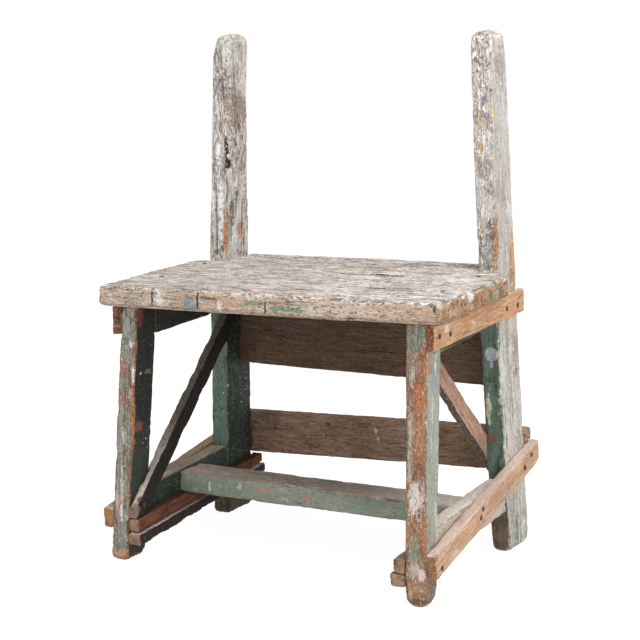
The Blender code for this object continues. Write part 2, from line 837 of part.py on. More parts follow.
def make_side(word):
    front, post = "front_leg_" + word, "rear_post_" + word
    rail, apron = "lower_rail_" + word, "upper_apron_" + word
    PIECES[rail] = tenoned_piece(rail, BATTEN_WEAR, "rail_tenon_" + word, front, post)
    boolean(PIECES[rail], space_of("stretcher_tenon"))
    PIECES[apron] = tenoned_piece(apron, BATTEN_WEAR, "apron_tenon_" + word, front, post)
    boolean(PIECES[apron], SPACES["seat"])
    for name in ("upper_batten_" + word, "lower_batten_" + word):
        wood = rail if name.startswith("lower") else apron
        PIECES[name] = piece(name, BATTEN_WEAR, front, post, wood)
        boolean(PIECES[name], SPACES["seat"])
    for name in ("upper_strip_" + word, "lower_strip_" + word):
        PIECES[name] = piece(
            name, BATTEN_WEAR, front, post, rail, "cross_stretcher", "lower_back_board"
        )
    brace = piece(
        "brace_" + word, BATTEN_WEAR, front, post, apron, rail,
        "upper_strip_" + word, "lower_strip_" + word, "lower_back_board",
    )
    for limit in ("seat", "front_room_" + word, "back_room_" + word):
        boolean(brace, SPACES[limit])
    PIECES["brace_" + word] = brace


def board_notch(word, side):
    """The room outside a post and below the batten's top, cut from the lower board's end."""
    post, batten = FORMS["rear_post_" + word], FORMS["lower_batten_" + word]
    board = FORMS["lower_back_board"]
    top = batten.end.z + batten.height / 2 + FIT
    low = batten.end.z - LOWER_BOARD_HEIGHT
    start = outer_x(post.at(batten.end.z), side)
    board_end = board.start if side == LEFT else board.end
    reach = board_end.x + side * OVERRUN - start
    notch = unit_cube("board_notch_" + word)
    size = (abs(reach), LOWER_BOARD_THICKNESS + 2 * OVERRUN, top - low, 1)
    notch.data.transform(Matrix.Diagonal(size))
    place = (start + reach / 2, (board.start.y + board.end.y) / 2, (top + low) / 2)
    notch.data.transform(Matrix.Translation(place))
    return as_cutter(notch)


def make_cross_pieces():
    PIECES["cross_stretcher"] = tenoned_piece(
        "cross_stretcher", BOARD_WEAR, "stretcher_tenon", "lower_rail_left", "lower_rail_right"
    )
    board = piece("upper_back_board", BOARD_WEAR)
    boolean(board, SPACES["seat"])
    PIECES["upper_back_board"] = board
    PIECES["lower_back_board"] = piece(
        "lower_back_board", BOARD_WEAR,
        "rear_post_left", "rear_post_right", "lower_batten_left", "lower_batten_right",
    )
    for word, side in SIDES.items():
        boolean(PIECES["lower_back_board"], board_notch(word, side))


def room(name, low_y, high_y):
    """Everything between two Y places, as a cutter."""
    space = unit_cube(name)
    wide = SEAT_LENGTH + 2 * OVERRUN
    tall = SEAT_HEIGHT + 2 * OVERRUN
    space.data.transform(Matrix.Diagonal((wide, high_y - low_y, tall, 1)))
    space.data.transform(Matrix.Translation((0, (low_y + high_y) / 2, SEAT_HEIGHT / 2)))
    return as_cutter(space)


def end_rooms():
    """The rooms where no brace reaches. The left brace runs from the front of its leg to the
    upper board, and the right one from the back of its post to a short lap on its leg."""
    board = FORMS["upper_back_board"]
    limits = {
        "left": (
            FORMS["front_leg_left"].at(LEFT_BRACE_FOOT).front - BATTEN_AHEAD,
            board.start.y - board.width / 2 - FIT,
        ),
        "right": (
            FORMS["front_leg_right"].at(LEG_TOP - RIGHT_BRACE_HEAD_DROP).back - RIGHT_BRACE_LAP,
            FORMS["rear_post_right"].at(RIGHT_BRACE_FOOT).back,
        ),
    }
    for word, (front, back) in limits.items():
        front_name, back_name = "front_room_" + word, "back_room_" + word
        SPACES[front_name] = room(front_name, front - SEAT_DEPTH / 2, front)
        SPACES[back_name] = room(back_name, back, back + SEAT_DEPTH / 2)


def across(section, share):
    return between(section.front, section.back, share)


def side_nail(bar, y, up_share, side):
    """A nail's place on one side face of a member, and the way that it is driven."""
    sideways = bar.axes()[1]
    return bar.point(y, up_share, side), sideways * math.copysign(1, -side * sideways.x)


def leg_nails(bar, leg, shares, side):
    section = leg.at((bar.start.z + bar.end.z) / 2)
    return [side_nail(bar, across(section, share), up, side) for share, up in shares]


def rail_nails(bar, rail, shares, side):
    low, high = rail.start.y, rail.end.y
    return [side_nail(bar, between(low, high, share), up, side) for share, up in shares]


def nail_side(word, side):
    front, back = legs_of(word)
    leg, post = PIECES["front_leg_" + word], PIECES["rear_post_" + word]
    upper, lower = FORMS["upper_batten_" + word], FORMS["lower_batten_" + word]
    nails(
        "upper_batten_nail_" + word,
        leg_nails(upper, front, UPPER_FRONT_NAIL_SHARES, side)
        + rail_nails(upper, FORMS["upper_apron_" + word], UPPER_APRON_NAIL_SHARES, side)
        + leg_nails(upper, back, UPPER_REAR_NAIL_SHARES, side),
        upper.width,
        PIECES["upper_batten_" + word], leg, post, PIECES["upper_apron_" + word],
        PIECES["upper_back_board"],
    )
    nails(
        "lower_batten_nail_" + word,
        leg_nails(lower, front, LOWER_FRONT_NAIL_SHARES, side)
        + rail_nails(lower, FORMS["lower_rail_" + word], LOWER_RAIL_NAIL_SHARES, side)
        + leg_nails(lower, back, LOWER_REAR_NAIL_SHARES, side),
        lower.width,
        PIECES["lower_batten_" + word], leg, post, PIECES["lower_rail_" + word],
        PIECES["cross_stretcher"],
    )
    places = []
    for name in ("upper_strip_" + word, "lower_strip_" + word):
        strip = FORMS[name]
        places += leg_nails(strip, front, ((STRIP_FRONT_NAIL_SHARE, 0),), -side)
        places += leg_nails(strip, back, ((STRIP_REAR_NAIL_SHARE, 0),), -side)
    nails(
        "strip_nail_" + word, places, STRIP_THICKNESS,
        PIECES["upper_strip_" + word], PIECES["lower_strip_" + word], leg, post,
        PIECES["brace_" + word],
    )
    brace = FORMS["brace_" + word]
    high_leg, low_leg = (back, front) if side == LEFT else (front, back)
    high_share = LEFT_BRACE_HIGH_NAIL_SHARE if side == LEFT else RIGHT_BRACE_HIGH_NAIL_SHARE
    low_share = 1 - BRACE_LOW_NAIL_SHARE if side == LEFT else BRACE_LOW_NAIL_SHARE
    low_y = across(low_leg.at(brace.start.z), low_share)
    high_y = across(high_leg.at(LEG_TOP), high_share)
    nails(
        "brace_nail_" + word,
        [side_nail(brace, y, 0, -side) for y in (low_y, high_y)],
        BRACE_THICKNESS,
        PIECES["brace_" + word], leg, post, PIECES["upper_apron_" + word],
    )


def nail_lower_board():
    board = FORMS["lower_back_board"]
    _, sideways, up = board.axes()
    places = []
    for word in SIDES:
        post = FORMS["rear_post_" + word]
        x = middle_x(post.at((board.start.z + board.end.z) / 2))
        middle = board.start.lerp(board.end, (x - board.start.x) / (board.end.x - board.start.x))
        back = sideways * math.copysign(board.width / 2, sideways.y)
        for share in BOARD_NAIL_SHARES:
            places.append((middle + up * board.height * share + back, -back))
    nails(
        "lower_board_nail", places, LOWER_BOARD_THICKNESS,
        PIECES["lower_back_board"], PIECES["rear_post_left"], PIECES["rear_post_right"],
    )


def nail_seat():
    """Nails through the seat into the aprons."""
    down = Vector((math.tan(SEAT_RISE_RIGHT), math.tan(SEAT_RISE_BACK), -1))
    places = []
    for word in SIDES:
        apron = FORMS["upper_apron_" + word]
        for share in SEAT_NAIL_SHARES:
            spot = apron.start.lerp(apron.end, share)
            places.append(Vector((spot.x, spot.y, seat_plane(spot.x, spot.y, -SEAT_THICKNESS))))
    nails(
        "seat_nail", [(place, down) for place in places], SEAT_THICKNESS,
        PIECES["seat"], PIECES["upper_apron_left"], PIECES["upper_apron_right"],
        bite=SEAT_NAIL_BITE,
    )


def stand_on_origin():
    """Hangs every piece from one empty, moved so that the floor's middle is the origin."""
    bpy.context.view_layer.update()
    graph = bpy.context.evaluated_depsgraph_get()
    low, high = Vector((math.inf,) * 3), Vector((-math.inf,) * 3)
    for obj in STOOL.objects:
        for corner in obj.evaluated_get(graph).data.vertices:
            for axis in range(3):
                low[axis] = min(low[axis], corner.co[axis])
                high[axis] = max(high[axis], corner.co[axis])
    frame = bpy.data.objects.new("stool_frame", None)
    STOOL.objects.link(frame)
    frame.location = (-(low.x + high.x) / 2, -(low.y + high.y) / 2, -low.z)
    for obj in list(STOOL.objects) + list(CUTTERS.objects):
        if obj is not frame:
            obj.parent = frame
    print("size", [round(high[axis] - low[axis], 5) for axis in range(3)])
    print("moved by", [round(value, 5) for value in frame.location])


SPACES["seat"] = seat_space()
end_rooms()
make_legs()
make_seat()
for side_word in SIDES:
    make_side(side_word)
make_cross_pieces()
for side_word, side_sign in SIDES.items():
    nail_side(side_word, side_sign)
nail_lower_board()
nail_seat()
stand_on_origin()
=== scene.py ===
# %% [markdown]
# # A hand-made workshop stool
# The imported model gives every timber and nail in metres, where it stands. This lesson dresses it:
# each timber gets a worn, uneven copy of itself, and a finish of old wood and flaking paint made
# from shader nodes. The model is loaded first, because every later step is measured from it.

import math

import bpy
import numpy as np
from mathutils import Euler, Matrix, Vector
from mathutils.bvhtree import BVHTree


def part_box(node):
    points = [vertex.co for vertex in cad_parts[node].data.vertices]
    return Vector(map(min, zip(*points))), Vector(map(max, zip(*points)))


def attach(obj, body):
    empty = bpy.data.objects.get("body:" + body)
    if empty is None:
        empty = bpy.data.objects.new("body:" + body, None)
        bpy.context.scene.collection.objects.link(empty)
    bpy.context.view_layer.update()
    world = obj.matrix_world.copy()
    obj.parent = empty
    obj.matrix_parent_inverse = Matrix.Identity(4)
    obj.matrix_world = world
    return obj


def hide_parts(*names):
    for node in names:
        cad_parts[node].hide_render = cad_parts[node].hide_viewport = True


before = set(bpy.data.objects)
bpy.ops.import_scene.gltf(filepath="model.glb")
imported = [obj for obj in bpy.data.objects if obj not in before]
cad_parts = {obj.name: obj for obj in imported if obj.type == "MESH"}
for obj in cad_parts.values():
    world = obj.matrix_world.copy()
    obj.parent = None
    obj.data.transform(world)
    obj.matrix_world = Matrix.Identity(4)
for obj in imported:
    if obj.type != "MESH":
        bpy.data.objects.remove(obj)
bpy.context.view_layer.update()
scene = bpy.context.scene

# %% [markdown]
# ## The camera
# It looks from the right and a little above, through a long lens, as the photograph does. It is
# made before the finishes, because many marks are placed on the timber by where they show.

# %% Camera
AZIMUTH = 0.4783
ELEVATION = 0.1659
ROLL = -0.0034
DISTANCE = 2.9246
FOCAL_PIXELS = 1835.92
PHOTO_SIZE = 640
SENSOR = 36
AIM = Vector((0.00108, -0.01748, 0.3819))


def camera_axes():
    """The camera's forward, right and up directions."""
    flat = Vector((-math.sin(AZIMUTH), math.cos(AZIMUTH), 0))
    forward = flat * math.cos(ELEVATION) - Vector((0, 0, math.sin(ELEVATION)))
    right = Vector((math.cos(AZIMUTH), math.sin(AZIMUTH), 0))
    up = right.cross(forward)
    turn, tip = math.cos(ROLL), math.sin(ROLL)
    return forward, right * turn + up * tip, up * turn - right * tip


def add_camera():
    forward, right, up = camera_axes()
    data = bpy.data.cameras.new("studio_camera")
    data.lens = SENSOR * FOCAL_PIXELS / PHOTO_SIZE
    data.sensor_width = SENSOR
    data.dof.use_dof = False
    camera = bpy.data.objects.new("studio_camera", data)
    scene.collection.objects.link(camera)
    camera.matrix_world = Matrix((
        (right.x, up.x, -forward.x, AIM.x - forward.x * DISTANCE),
        (right.y, up.y, -forward.y, AIM.y - forward.y * DISTANCE),
        (right.z, up.z, -forward.z, AIM.z - forward.z * DISTANCE),
        (0, 0, 0, 1),
    ))
    scene.camera = camera
    return camera


SURFACES = {}
SEARCH = 12


def spot(name, across, down):
    """The place on a node's surface that shows at a pixel of the photograph, or close to it."""
    forward, right, up = camera_axes()
    middle = PHOTO_SIZE / 2
    eye = AIM - forward * DISTANCE
    if name not in SURFACES:
        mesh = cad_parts[name].data
        faces = [tuple(face.vertices) for face in mesh.polygons]
        SURFACES[name] = BVHTree.FromPolygons([corner.co for corner in mesh.vertices], faces)
    for step in range(SEARCH):
        for aside, lower in ((0, 0), (0, -1), (0, 1), (-1, 0), (1, 0)):
            x = across + aside * step - middle
            y = down + lower * step - middle
            ray = forward * FOCAL_PIXELS + right * x - up * y
            place = SURFACES[name].ray_cast(eye, ray.normalized())[0]
            if place:
                return place
    return None


camera = add_camera()
print("camera lens", round(camera.data.lens, 2), "mm")

# %% [markdown]
# ## Worn timber
# Old timber has no flat face and no sharp corner. Each piece starts as a merged copy of its node.
# A voxel Remesh gives it an even skin of small faces and rounds its corners, and Displace steps
# then push that skin in and out: long swells along the grain, and bites out of the corners. The
# points near a corner are found by their normals and kept in a vertex group for those bites, and
# in an attribute that the finishes read.

# %% Helpers for worn timber
MERGE = 0.00001
CORNER_LEAN = 0.29
CORNER_GAIN = 1.6
WEIGHT_STEPS = 10
LEAST_WEIGHT = 0.02
SOFTNESS = 0.6
CLOUD_DEPTH = 3
# size of the pattern in metres, how far it is drawn out, and its share of the depth
WAVES = ((0.060, 3, 1), (0.016, 8, 0.4), (0.005, 6, 0.25))
# the same for the bites out of the corners, and how bright their pattern is
BITES = ((0.018, 2.2, 1, 0.30), (0.007, 1.8, 0.5, 0.38))
BITE_CONTRAST = 4
# the ways in which splits go into the wood
BACKWARD, DOWNWARD, LEFTWARD = (0, 1, 0), (0, 0, -1), (-1, 0, 0)
# how a split narrows to its ends, how far it opens, and how it winds
TAPER_POWER, TAPER_SHARE = 2.5, 0.9
OPENING, CLOSING = 0.8, 0.4
WINDING, WINDING_SHARE = 11, 0.35


def grain_turn(name):
    """The turn that brings the grain of a straight timber onto the first axis."""
    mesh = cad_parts[name].data
    points = np.empty(len(mesh.vertices) * 3, np.float32)
    mesh.vertices.foreach_get("co", points)
    points = points.reshape(-1, 3)
    low, high = points.min(axis=0), points.max(axis=0)
    if np.argmax(high - low) == 0:
        return (0, 0, 0)
    spread = points - points.mean(axis=0)
    along = np.linalg.svd(spread, full_matrices=False)[2][0]
    rise = math.atan2(along[2], along[1])
    return (-rise, 0, -math.pi / 2)


def only(piece):
    """Selects one piece and nothing else."""
    bpy.ops.object.select_all(action="DESELECT")
    piece.select_set(True)
    bpy.context.view_layer.objects.active = piece


def apply_step(piece, kind, **settings):
    """Adds a modifier with these settings and applies it at once."""
    step = piece.modifiers.new(kind.lower(), kind)
    for key, value in settings.items():
        setattr(step, key, value)
    only(piece)
    bpy.ops.object.modifier_apply(modifier=step.name)


def merged_copy(name, title):
    """A copy of a node's mesh with its loose triangles joined up."""
    piece = bpy.data.objects.new(title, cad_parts[name].data.copy())
    scene.collection.objects.link(piece)
    piece.data.materials.clear()
    only(piece)
    bpy.ops.object.mode_set(mode="EDIT")
    bpy.ops.mesh.select_all(action="SELECT")
    bpy.ops.mesh.remove_doubles(threshold=MERGE)
    bpy.ops.object.mode_set(mode="OBJECT")
    return piece


def mark_corners(piece, turn, spread=3):
    """Keeps how near each point is to a corner, as a vertex group and as an attribute."""
    mesh = piece.data
    count = len(mesh.vertices)
    normals = np.empty(count * 3, np.float32)
    mesh.vertex_normals.foreach_get("vector", normals)
    turned = normals.reshape(-1, 3) @ np.array(Euler(turn).to_matrix()).T
    near = np.clip((1 - np.abs(turned).max(axis=1)) / CORNER_LEAN, 0, 1)
    ends = np.empty(len(mesh.edges) * 2, np.int32)
    mesh.edges.foreach_get("vertices", ends)
    first, second = ends.reshape(-1, 2).T
    degree = np.bincount(ends, minlength=count)
    for _ in range(spread):
        around = np.bincount(first, near[second], count) + np.bincount(second, near[first], count)
        near = np.maximum(near, around / degree) * 0.5 + around / degree * 0.5
    near = np.clip(near * CORNER_GAIN, 0, 1)
    kept = mesh.attributes.new("corner", "FLOAT", "POINT")
    kept.data.foreach_set("value", near.astype(np.float32))
    group = piece.vertex_groups.new(name="corner")
    levels = np.round(near * WEIGHT_STEPS).astype(int)
    for level in range(1, WEIGHT_STEPS + 1):
        group.add(np.flatnonzero(levels == level).tolist(), level / WEIGHT_STEPS, "REPLACE")


def soften(piece, weigh, rounds):
    """Smooths a piece where weigh(place) is above 0, by that share."""
    group = piece.vertex_groups.new(name="soft")
    for corner in piece.data.vertices:
        weight = min(1, weigh(corner.co))
        if weight > LEAST_WEIGHT:
            group.add([corner.index], weight, "REPLACE")
    apply_step(piece, "SMOOTH", factor=SOFTNESS, iterations=rounds, vertex_group="soft")
    piece.vertex_groups.remove(piece.vertex_groups["soft"])


def push(piece, grain, size, stretch, strength, seed, **settings):
    """Displaces a piece by a cloud pattern drawn out along its grain."""
    texture = bpy.data.textures.new("clouds", "CLOUDS")
    texture.noise_scale = size
    texture.noise_depth = CLOUD_DEPTH
    texture.contrast = settings.pop("contrast", 1)
    texture.intensity = settings.pop("intensity", 1)
    texture.use_clamp = True
    guide = bpy.data.objects.new("guide", None)
    scene.collection.objects.link(guide)
    guide.rotation_euler = Euler(grain).to_matrix().inverted().to_euler()
    guide.scale = (stretch, 1, 1)
    guide.location = (seed * 0.37, seed * 0.61, seed * 0.23)
    bpy.context.view_layer.update()
    apply_step(
        piece, "DISPLACE", texture=texture, texture_coords="OBJECT", texture_coords_object=guide,
        strength=strength, **settings,
    )
    bpy.data.objects.remove(guide)
    bpy.data.textures.remove(texture)


def sliver(name, start, end, width, depth, turn):
    """A thin crooked leaf that narrows to its ends, to cut a split where the photograph has one."""
    start, end = spot(name, *start), spot(name, *end)
    bpy.ops.object.select_all(action="DESELECT")
    bpy.ops.mesh.primitive_cube_add(size=1)
    leaf = bpy.context.object
    bpy.ops.object.mode_set(mode="EDIT")
    bpy.ops.mesh.subdivide(number_cuts=5)
    bpy.ops.object.mode_set(mode="OBJECT")
    along = (end - start).normalized()
    inward = Vector(turn).normalized()
    side = along.cross(inward)
    length = (end - start).length
    for corner in leaf.data.vertices:
        x, y, z = corner.co
        taper = 1 - abs(2 * x) ** TAPER_POWER * TAPER_SHARE
        wedge = OPENING - CLOSING * z
        crook = math.sin(x * WINDING) * width * WINDING_SHARE
        aside = y * width * taper * wedge + crook
        corner.co = (start + end) / 2 + along * x * length + side * aside + inward * z * depth * 2
    return leaf


def cut(piece, slivers):
    """Cuts slivers from a piece in one Boolean, and keeps the piece whole if that breaks it."""
    bpy.ops.object.select_all(action="DESELECT")
    for leaf in slivers:
        leaf.select_set(True)
    bpy.context.view_layer.objects.active = slivers[0]
    if len(slivers) > 1:
        bpy.ops.object.join()
    bpy.ops.object.mode_set(mode="EDIT")
    bpy.ops.mesh.select_all(action="SELECT")
    bpy.ops.mesh.normals_make_consistent(inside=False)
    bpy.ops.object.mode_set(mode="OBJECT")
    whole = piece.data.copy()
    apply_step(piece, "BOOLEAN", operation="DIFFERENCE", solver="EXACT", object=slivers[0])
    bpy.data.objects.remove(slivers[0])
    if len(piece.data.polygons) < len(whole.polygons) / 2:
        print("a cut failed, so", piece.name, "stays whole")
        piece.data = whole


def weathered(name, skin=0.0021, swell=0.0016, bite=0.004, seed=1, smooth=(), splits=()):
    """A worn copy of a node, which takes the node's place."""
    turn = grain_turn(name)
    piece = merged_copy(name, name + "_wood")
    if splits:
        cut(piece, [sliver(name, *row) for row in splits])
    apply_step(piece, "REMESH", mode="VOXEL", voxel_size=skin, use_smooth_shade=True)
    for weigh, rounds in smooth:
        soften(piece, weigh, rounds)
    mark_corners(piece, turn)
    for step, (size, stretch, share) in enumerate(WAVES):
        push(piece, turn, size, stretch, swell * share, seed + step, mid_level=0.5)
    for step, (size, stretch, share, bright) in enumerate(BITES, len(WAVES)):
        push(
            piece, turn, size, stretch, -bite * share, seed + step, mid_level=0, intensity=bright,
            contrast=BITE_CONTRAST, vertex_group="corner",
        )
    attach(piece, "root")
    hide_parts(name)
    return piece


print("each timber is pushed", len(WAVES), "times all over and", len(BITES), "times at its corners")

# %% [markdown]
# ## Building blocks for the finishes
# A finish is painted in layers, bottom first: bare wood, then coats of paint that have flaked, then
# single dabs and specks. Each kind of layer is a node group, so all timbers share one recipe and
# differ only in their colours and amounts. Every pattern reads object coordinates in metres. They
# are turned so that the grain runs along the first axis.

# %% Node helpers
def tone(red, green, blue):
    """A colour given as it looks on screen, as the linear values that shaders use."""
    shares = [value / 255 for value in (red, green, blue)]
    linear = [v / 12.92 if v <= 0.04045 else ((v + 0.055) / 1.055) ** 2.4 for v in shares]
    return (*linear, 1)


def put(tree, kind, settings=None, **feeds):
    """Adds a node and feeds its inputs, by name or by number, with sockets or values."""
    node = tree.nodes.new("ShaderNode" + kind)
    for key, value in (settings or {}).items():
        setattr(node, key, value)
    for key, value in feeds.items():
        index = int(key[1:]) if key[1:].isdigit() else key.replace("_", " ")
        if isinstance(value, bpy.types.NodeSocket):
            tree.links.new(value, node.inputs[index])
        else:
            node.inputs[index].default_value = value
    return node


def maths(tree, operation, first, second=0.0, clamp=False):
    settings = {"operation": operation, "use_clamp": clamp}
    return put(tree, "Math", settings, i0=first, i1=second).outputs[0]


def scaled(tree, value, share, plus):
    """A value times a share, plus something else."""
    made = put(tree, "Math", {"operation": "MULTIPLY_ADD"}, i0=value, i1=share, i2=plus)
    return made.outputs[0]


def vectors(tree, operation, first, second):
    made = put(tree, "VectorMath", {"operation": operation}, i0=first, i1=second)
    return made.outputs[0]


def noise(tree, vector, scale, detail=3.0, roughness=0.6, distortion=0.0):
    made = put(
        tree, "TexNoise", None, Vector=vector, Scale=scale, Detail=detail,
        Roughness=roughness, Distortion=distortion,
    )
    return made.outputs["Fac"]


def ramp(tree, value, low, high, start=0.0, end=1.0):
    """Takes low to high smoothly onto start to end."""
    made = put(
        tree, "MapRange", {"interpolation_type": "SMOOTHSTEP"},
        i0=value, i1=low, i2=high, i3=start, i4=end,
    )
    return made.outputs[0]


def blend(tree, share, under, over):
    made = put(tree, "Mix", {"data_type": "RGBA"}, i0=share, i6=under, i7=over)
    return made.outputs[2]


def stretched(tree, vector, along, across=1.0):
    return vectors(tree, "MULTIPLY", vector, (along, across, across))


def new_group(name, inputs, outputs):
    tree = bpy.data.node_groups.new(name, "ShaderNodeTree")
    for title, kind in inputs.items():
        tree.interface.new_socket(title, in_out="INPUT", socket_type="NodeSocket" + kind)
    for title, kind in outputs.items():
        tree.interface.new_socket(title, in_out="OUTPUT", socket_type="NodeSocket" + kind)
    given = tree.nodes.new("NodeGroupInput").outputs
    result = tree.nodes.new("NodeGroupOutput").inputs
    return tree, given, result


def use(tree, name, **feeds):
    node = tree.nodes.new("ShaderNodeGroup")
    node.node_tree = bpy.data.node_groups[name]
    for key, value in feeds.items():
        socket = node.inputs[key.replace("_", " ")]
        if isinstance(value, bpy.types.NodeSocket):
            tree.links.new(value, socket)
        else:
            socket.default_value = value
    return node.outputs


def new_material(name):
    """A material with its tree and its shader."""
    material = bpy.data.materials.new(name)
    material.use_nodes = True
    return material, material.node_tree, material.node_tree.nodes["Principled BSDF"]


def wire(tree, shader, colour, roughness, height, bump, depth):
    """Joins a colour, a roughness and a height to the shader."""
    relief = put(tree, "Bump", None, Strength=bump, Distance=depth, Height=height)
    tree.links.new(colour, shader.inputs["Base Color"])
    tree.links.new(roughness, shader.inputs["Roughness"])
    tree.links.new(relief.outputs["Normal"], shader.inputs["Normal"])


print("middle grey on screen is", round(tone(128, 128, 128)[0], 3), "for a shader")

# %% [markdown]
# ## The kinds of layer
# Old wood shows the same few patterns over and over. They come from one group, drawn out along the
# grain, so a timber only chooses how much of each it has. Paint comes as coats, dabs and specks.

# %% Grain, coat, dab and speck groups
# drawn out by, scale, detail, roughness, distortion, and the ends of the ramp
SPOTS = {
    "Dashes": (0.16, 300, 2, 0.5, 0, 0.57, 0.63),
    "Pits": (0.45, 380, 3, 0.65, 0.3, 0.555, 0.62),
    "Flecks": (0.5, 430, 3, 0.6, 0.5, 0.57, 0.63),
}
# drawn out by, scale, width, detail and distortion of the lines, and for the pattern that says
# where they are: drawn out by, scale, detail and the ends of the ramp
LINES = {
    "Checks": (0.035, 55, 0.010, 2, 0, 0.3, 13, 2, 0.50, 0.58),
    "Crazing": (0.42, 110, 0.040, 3, 0.7, 0.5, 34, 3, 0.46, 0.54),
    "Shakes": (0.13, 105, 0.030, 3, 0.5, 0.5, 46, 3, 0.50, 0.56),
}
FLAKE_FEATHER = 0.022
RIM_WIDTH = 0.020
RIM_COLOUR = (52, 42, 36)
DAB_EDGE = 0.84
SPECK_RADIUS = 0.30
FACING_RAMP = (0.45, 0.72)


def line_mask(tree, vector, scale, width, detail=2.0, distortion=0.0):
    """Thin wandering lines, where a noise crosses its middle."""
    value = noise(tree, vector, scale, detail, 0.55, distortion)
    away = maths(tree, "ABSOLUTE", maths(tree, "SUBTRACT", value, 0.5))
    return ramp(tree, away, 0.0, width, 1.0, 0.0)


def grain_group():
    """Fibres, broad figure, dashes, checks, shakes, crazing, dark pits and pale flecks."""
    names = ("Fibre", "Figure", "Dashes", "Checks", "Shakes", "Crazing", "Pits", "Flecks")
    tree, given, result = new_group(
        "wood_grain", {"Vector": "Vector"}, dict.fromkeys(names, "Float")
    )
    place = given["Vector"]
    fine = noise(tree, stretched(tree, place, 0.06), 560.0, 3.0)
    coarse = noise(tree, stretched(tree, place, 0.09), 170.0, 4.0, 0.6, 0.3)
    fibre = scaled(tree, fine, 0.5, maths(tree, "MULTIPLY", coarse, 0.5))
    tree.links.new(ramp(tree, fibre, 0.40, 0.61), result["Fibre"])
    broad = noise(tree, stretched(tree, place, 0.16), 16.0, 2.0, 0.5, 0.5)
    rings = maths(tree, "PINGPONG", maths(tree, "MULTIPLY", broad, 17.0), 0.5)
    tree.links.new(maths(tree, "MULTIPLY", rings, 2.0), result["Figure"])
    for key, (draw, scale, detail, roughness, distortion, low, high) in SPOTS.items():
        spots = noise(tree, stretched(tree, place, draw), scale, detail, roughness, distortion)
        tree.links.new(ramp(tree, spots, low, high), result[key])
    for key, (draw, scale, width, detail, distortion, *where) in LINES.items():
        lines = line_mask(tree, stretched(tree, place, draw), scale, width, detail, distortion)
        spread, size, fineness, low, high = where
        some = noise(tree, stretched(tree, place, spread), size, fineness)
        tree.links.new(maths(tree, "MULTIPLY", lines, ramp(tree, some, low, high)), result[key])


def coat_group():
    """A coat of paint that has flaked off in patches drawn out along the grain."""
    inputs = {
        "Vector": "Vector", "Under": "Color", "Colour": "Color", "Other": "Color",
        "Fibre": "Float", "Cover": "Float", "Size": "Float", "Draw": "Float", "Where": "Float",
        "Rim": "Float",
    }
    tree, given, result = new_group("flaked_coat", inputs, {"Colour": "Color", "Mask": "Float"})
    drawn = put(tree, "CombineXYZ", None, X=given["Draw"], Y=1.0, Z=1.0).outputs[0]
    place = vectors(tree, "MULTIPLY", given["Vector"], drawn)
    flakes = noise(tree, place, given["Size"], 7.0, 0.72, 0.3)
    level = scaled(tree, given["Fibre"], 0.14, maths(tree, "MULTIPLY", flakes, 0.92))
    # cover 0 leaves nothing and cover 1 leaves all of the coat
    edge = scaled(tree, given["Cover"], -0.46, 0.76)
    present = ramp(tree, level, edge, maths(tree, "ADD", edge, FLAKE_FEATHER))
    mask = maths(tree, "MULTIPLY", present, given["Where"])
    shade = noise(tree, place, maths(tree, "MULTIPLY", given["Size"], 0.4), 5.0, 0.7)
    colour = blend(tree, ramp(tree, shade, 0.38, 0.62), given["Colour"], given["Other"])
    laid = blend(tree, mask, given["Under"], colour)
    # the lifted edge of a flake throws a thin shadow on the wood beside it
    foot = ramp(tree, level, maths(tree, "SUBTRACT", edge, RIM_WIDTH), edge)
    beside = maths(tree, "SUBTRACT", foot, present, True)
    shadow = maths(tree, "MULTIPLY", maths(tree, "MULTIPLY", beside, given["Rim"]), given["Where"])
    tree.links.new(blend(tree, shadow, laid, tone(*RIM_COLOUR)), result["Colour"])
    tree.links.new(mask, result["Mask"])


def dab_group():
    """One ragged dab of colour at a place, with its own size along each axis."""
    inputs = {
        "Vector": "Vector", "Along": "Vector", "Under": "Color", "Colour": "Color",
        "Centre": "Vector", "Size": "Vector", "Ragged": "Float", "Strength": "Float",
    }
    tree, given, result = new_group("paint_dab", inputs, {"Colour": "Color", "Mask": "Float"})
    away = vectors(tree, "SUBTRACT", given["Vector"], given["Centre"])
    share = vectors(tree, "DIVIDE", away, given["Size"])
    reach = put(tree, "VectorMath", {"operation": "LENGTH"}, i0=share).outputs["Value"]
    rough = maths(tree, "SUBTRACT", noise(tree, given["Vector"], 130.0, 6.0, 0.7), 0.5)
    dry = noise(tree, stretched(tree, given["Along"], 0.16), 380.0, 4.0, 0.65)
    both = scaled(tree, maths(tree, "SUBTRACT", dry, 0.5), 0.9, rough)
    uneven = scaled(tree, both, given["Ragged"], reach)
    inside = ramp(tree, uneven, DAB_EDGE, 1.0, 1.0, 0.0)
    mask = maths(tree, "MULTIPLY", inside, given["Strength"])
    tree.links.new(blend(tree, mask, given["Under"], given["Colour"]), result["Colour"])
    tree.links.new(mask, result["Mask"])


def speck_group():
    """Small round specks, as flicked from a brush."""
    inputs = {
        "Vector": "Vector", "Under": "Color", "Colour": "Color", "Size": "Float", "Share": "Float",
    }
    tree, given, result = new_group("specks", inputs, {"Colour": "Color", "Mask": "Float"})
    cells = put(tree, "TexVoronoi", None, Vector=given["Vector"], Scale=given["Size"])
    parts = put(tree, "SeparateColor", None, i0=cells.outputs["Color"])
    chosen = maths(tree, "LESS_THAN", parts.outputs[0], given["Share"])
    radius = maths(tree, "MULTIPLY", parts.outputs[1], SPECK_RADIUS)
    inside = maths(tree, "LESS_THAN", cells.outputs["Distance"], radius)
    mask = maths(tree, "MULTIPLY", inside, chosen)
    tree.links.new(blend(tree, mask, given["Under"], given["Colour"]), result["Colour"])
    tree.links.new(mask, result["Mask"])


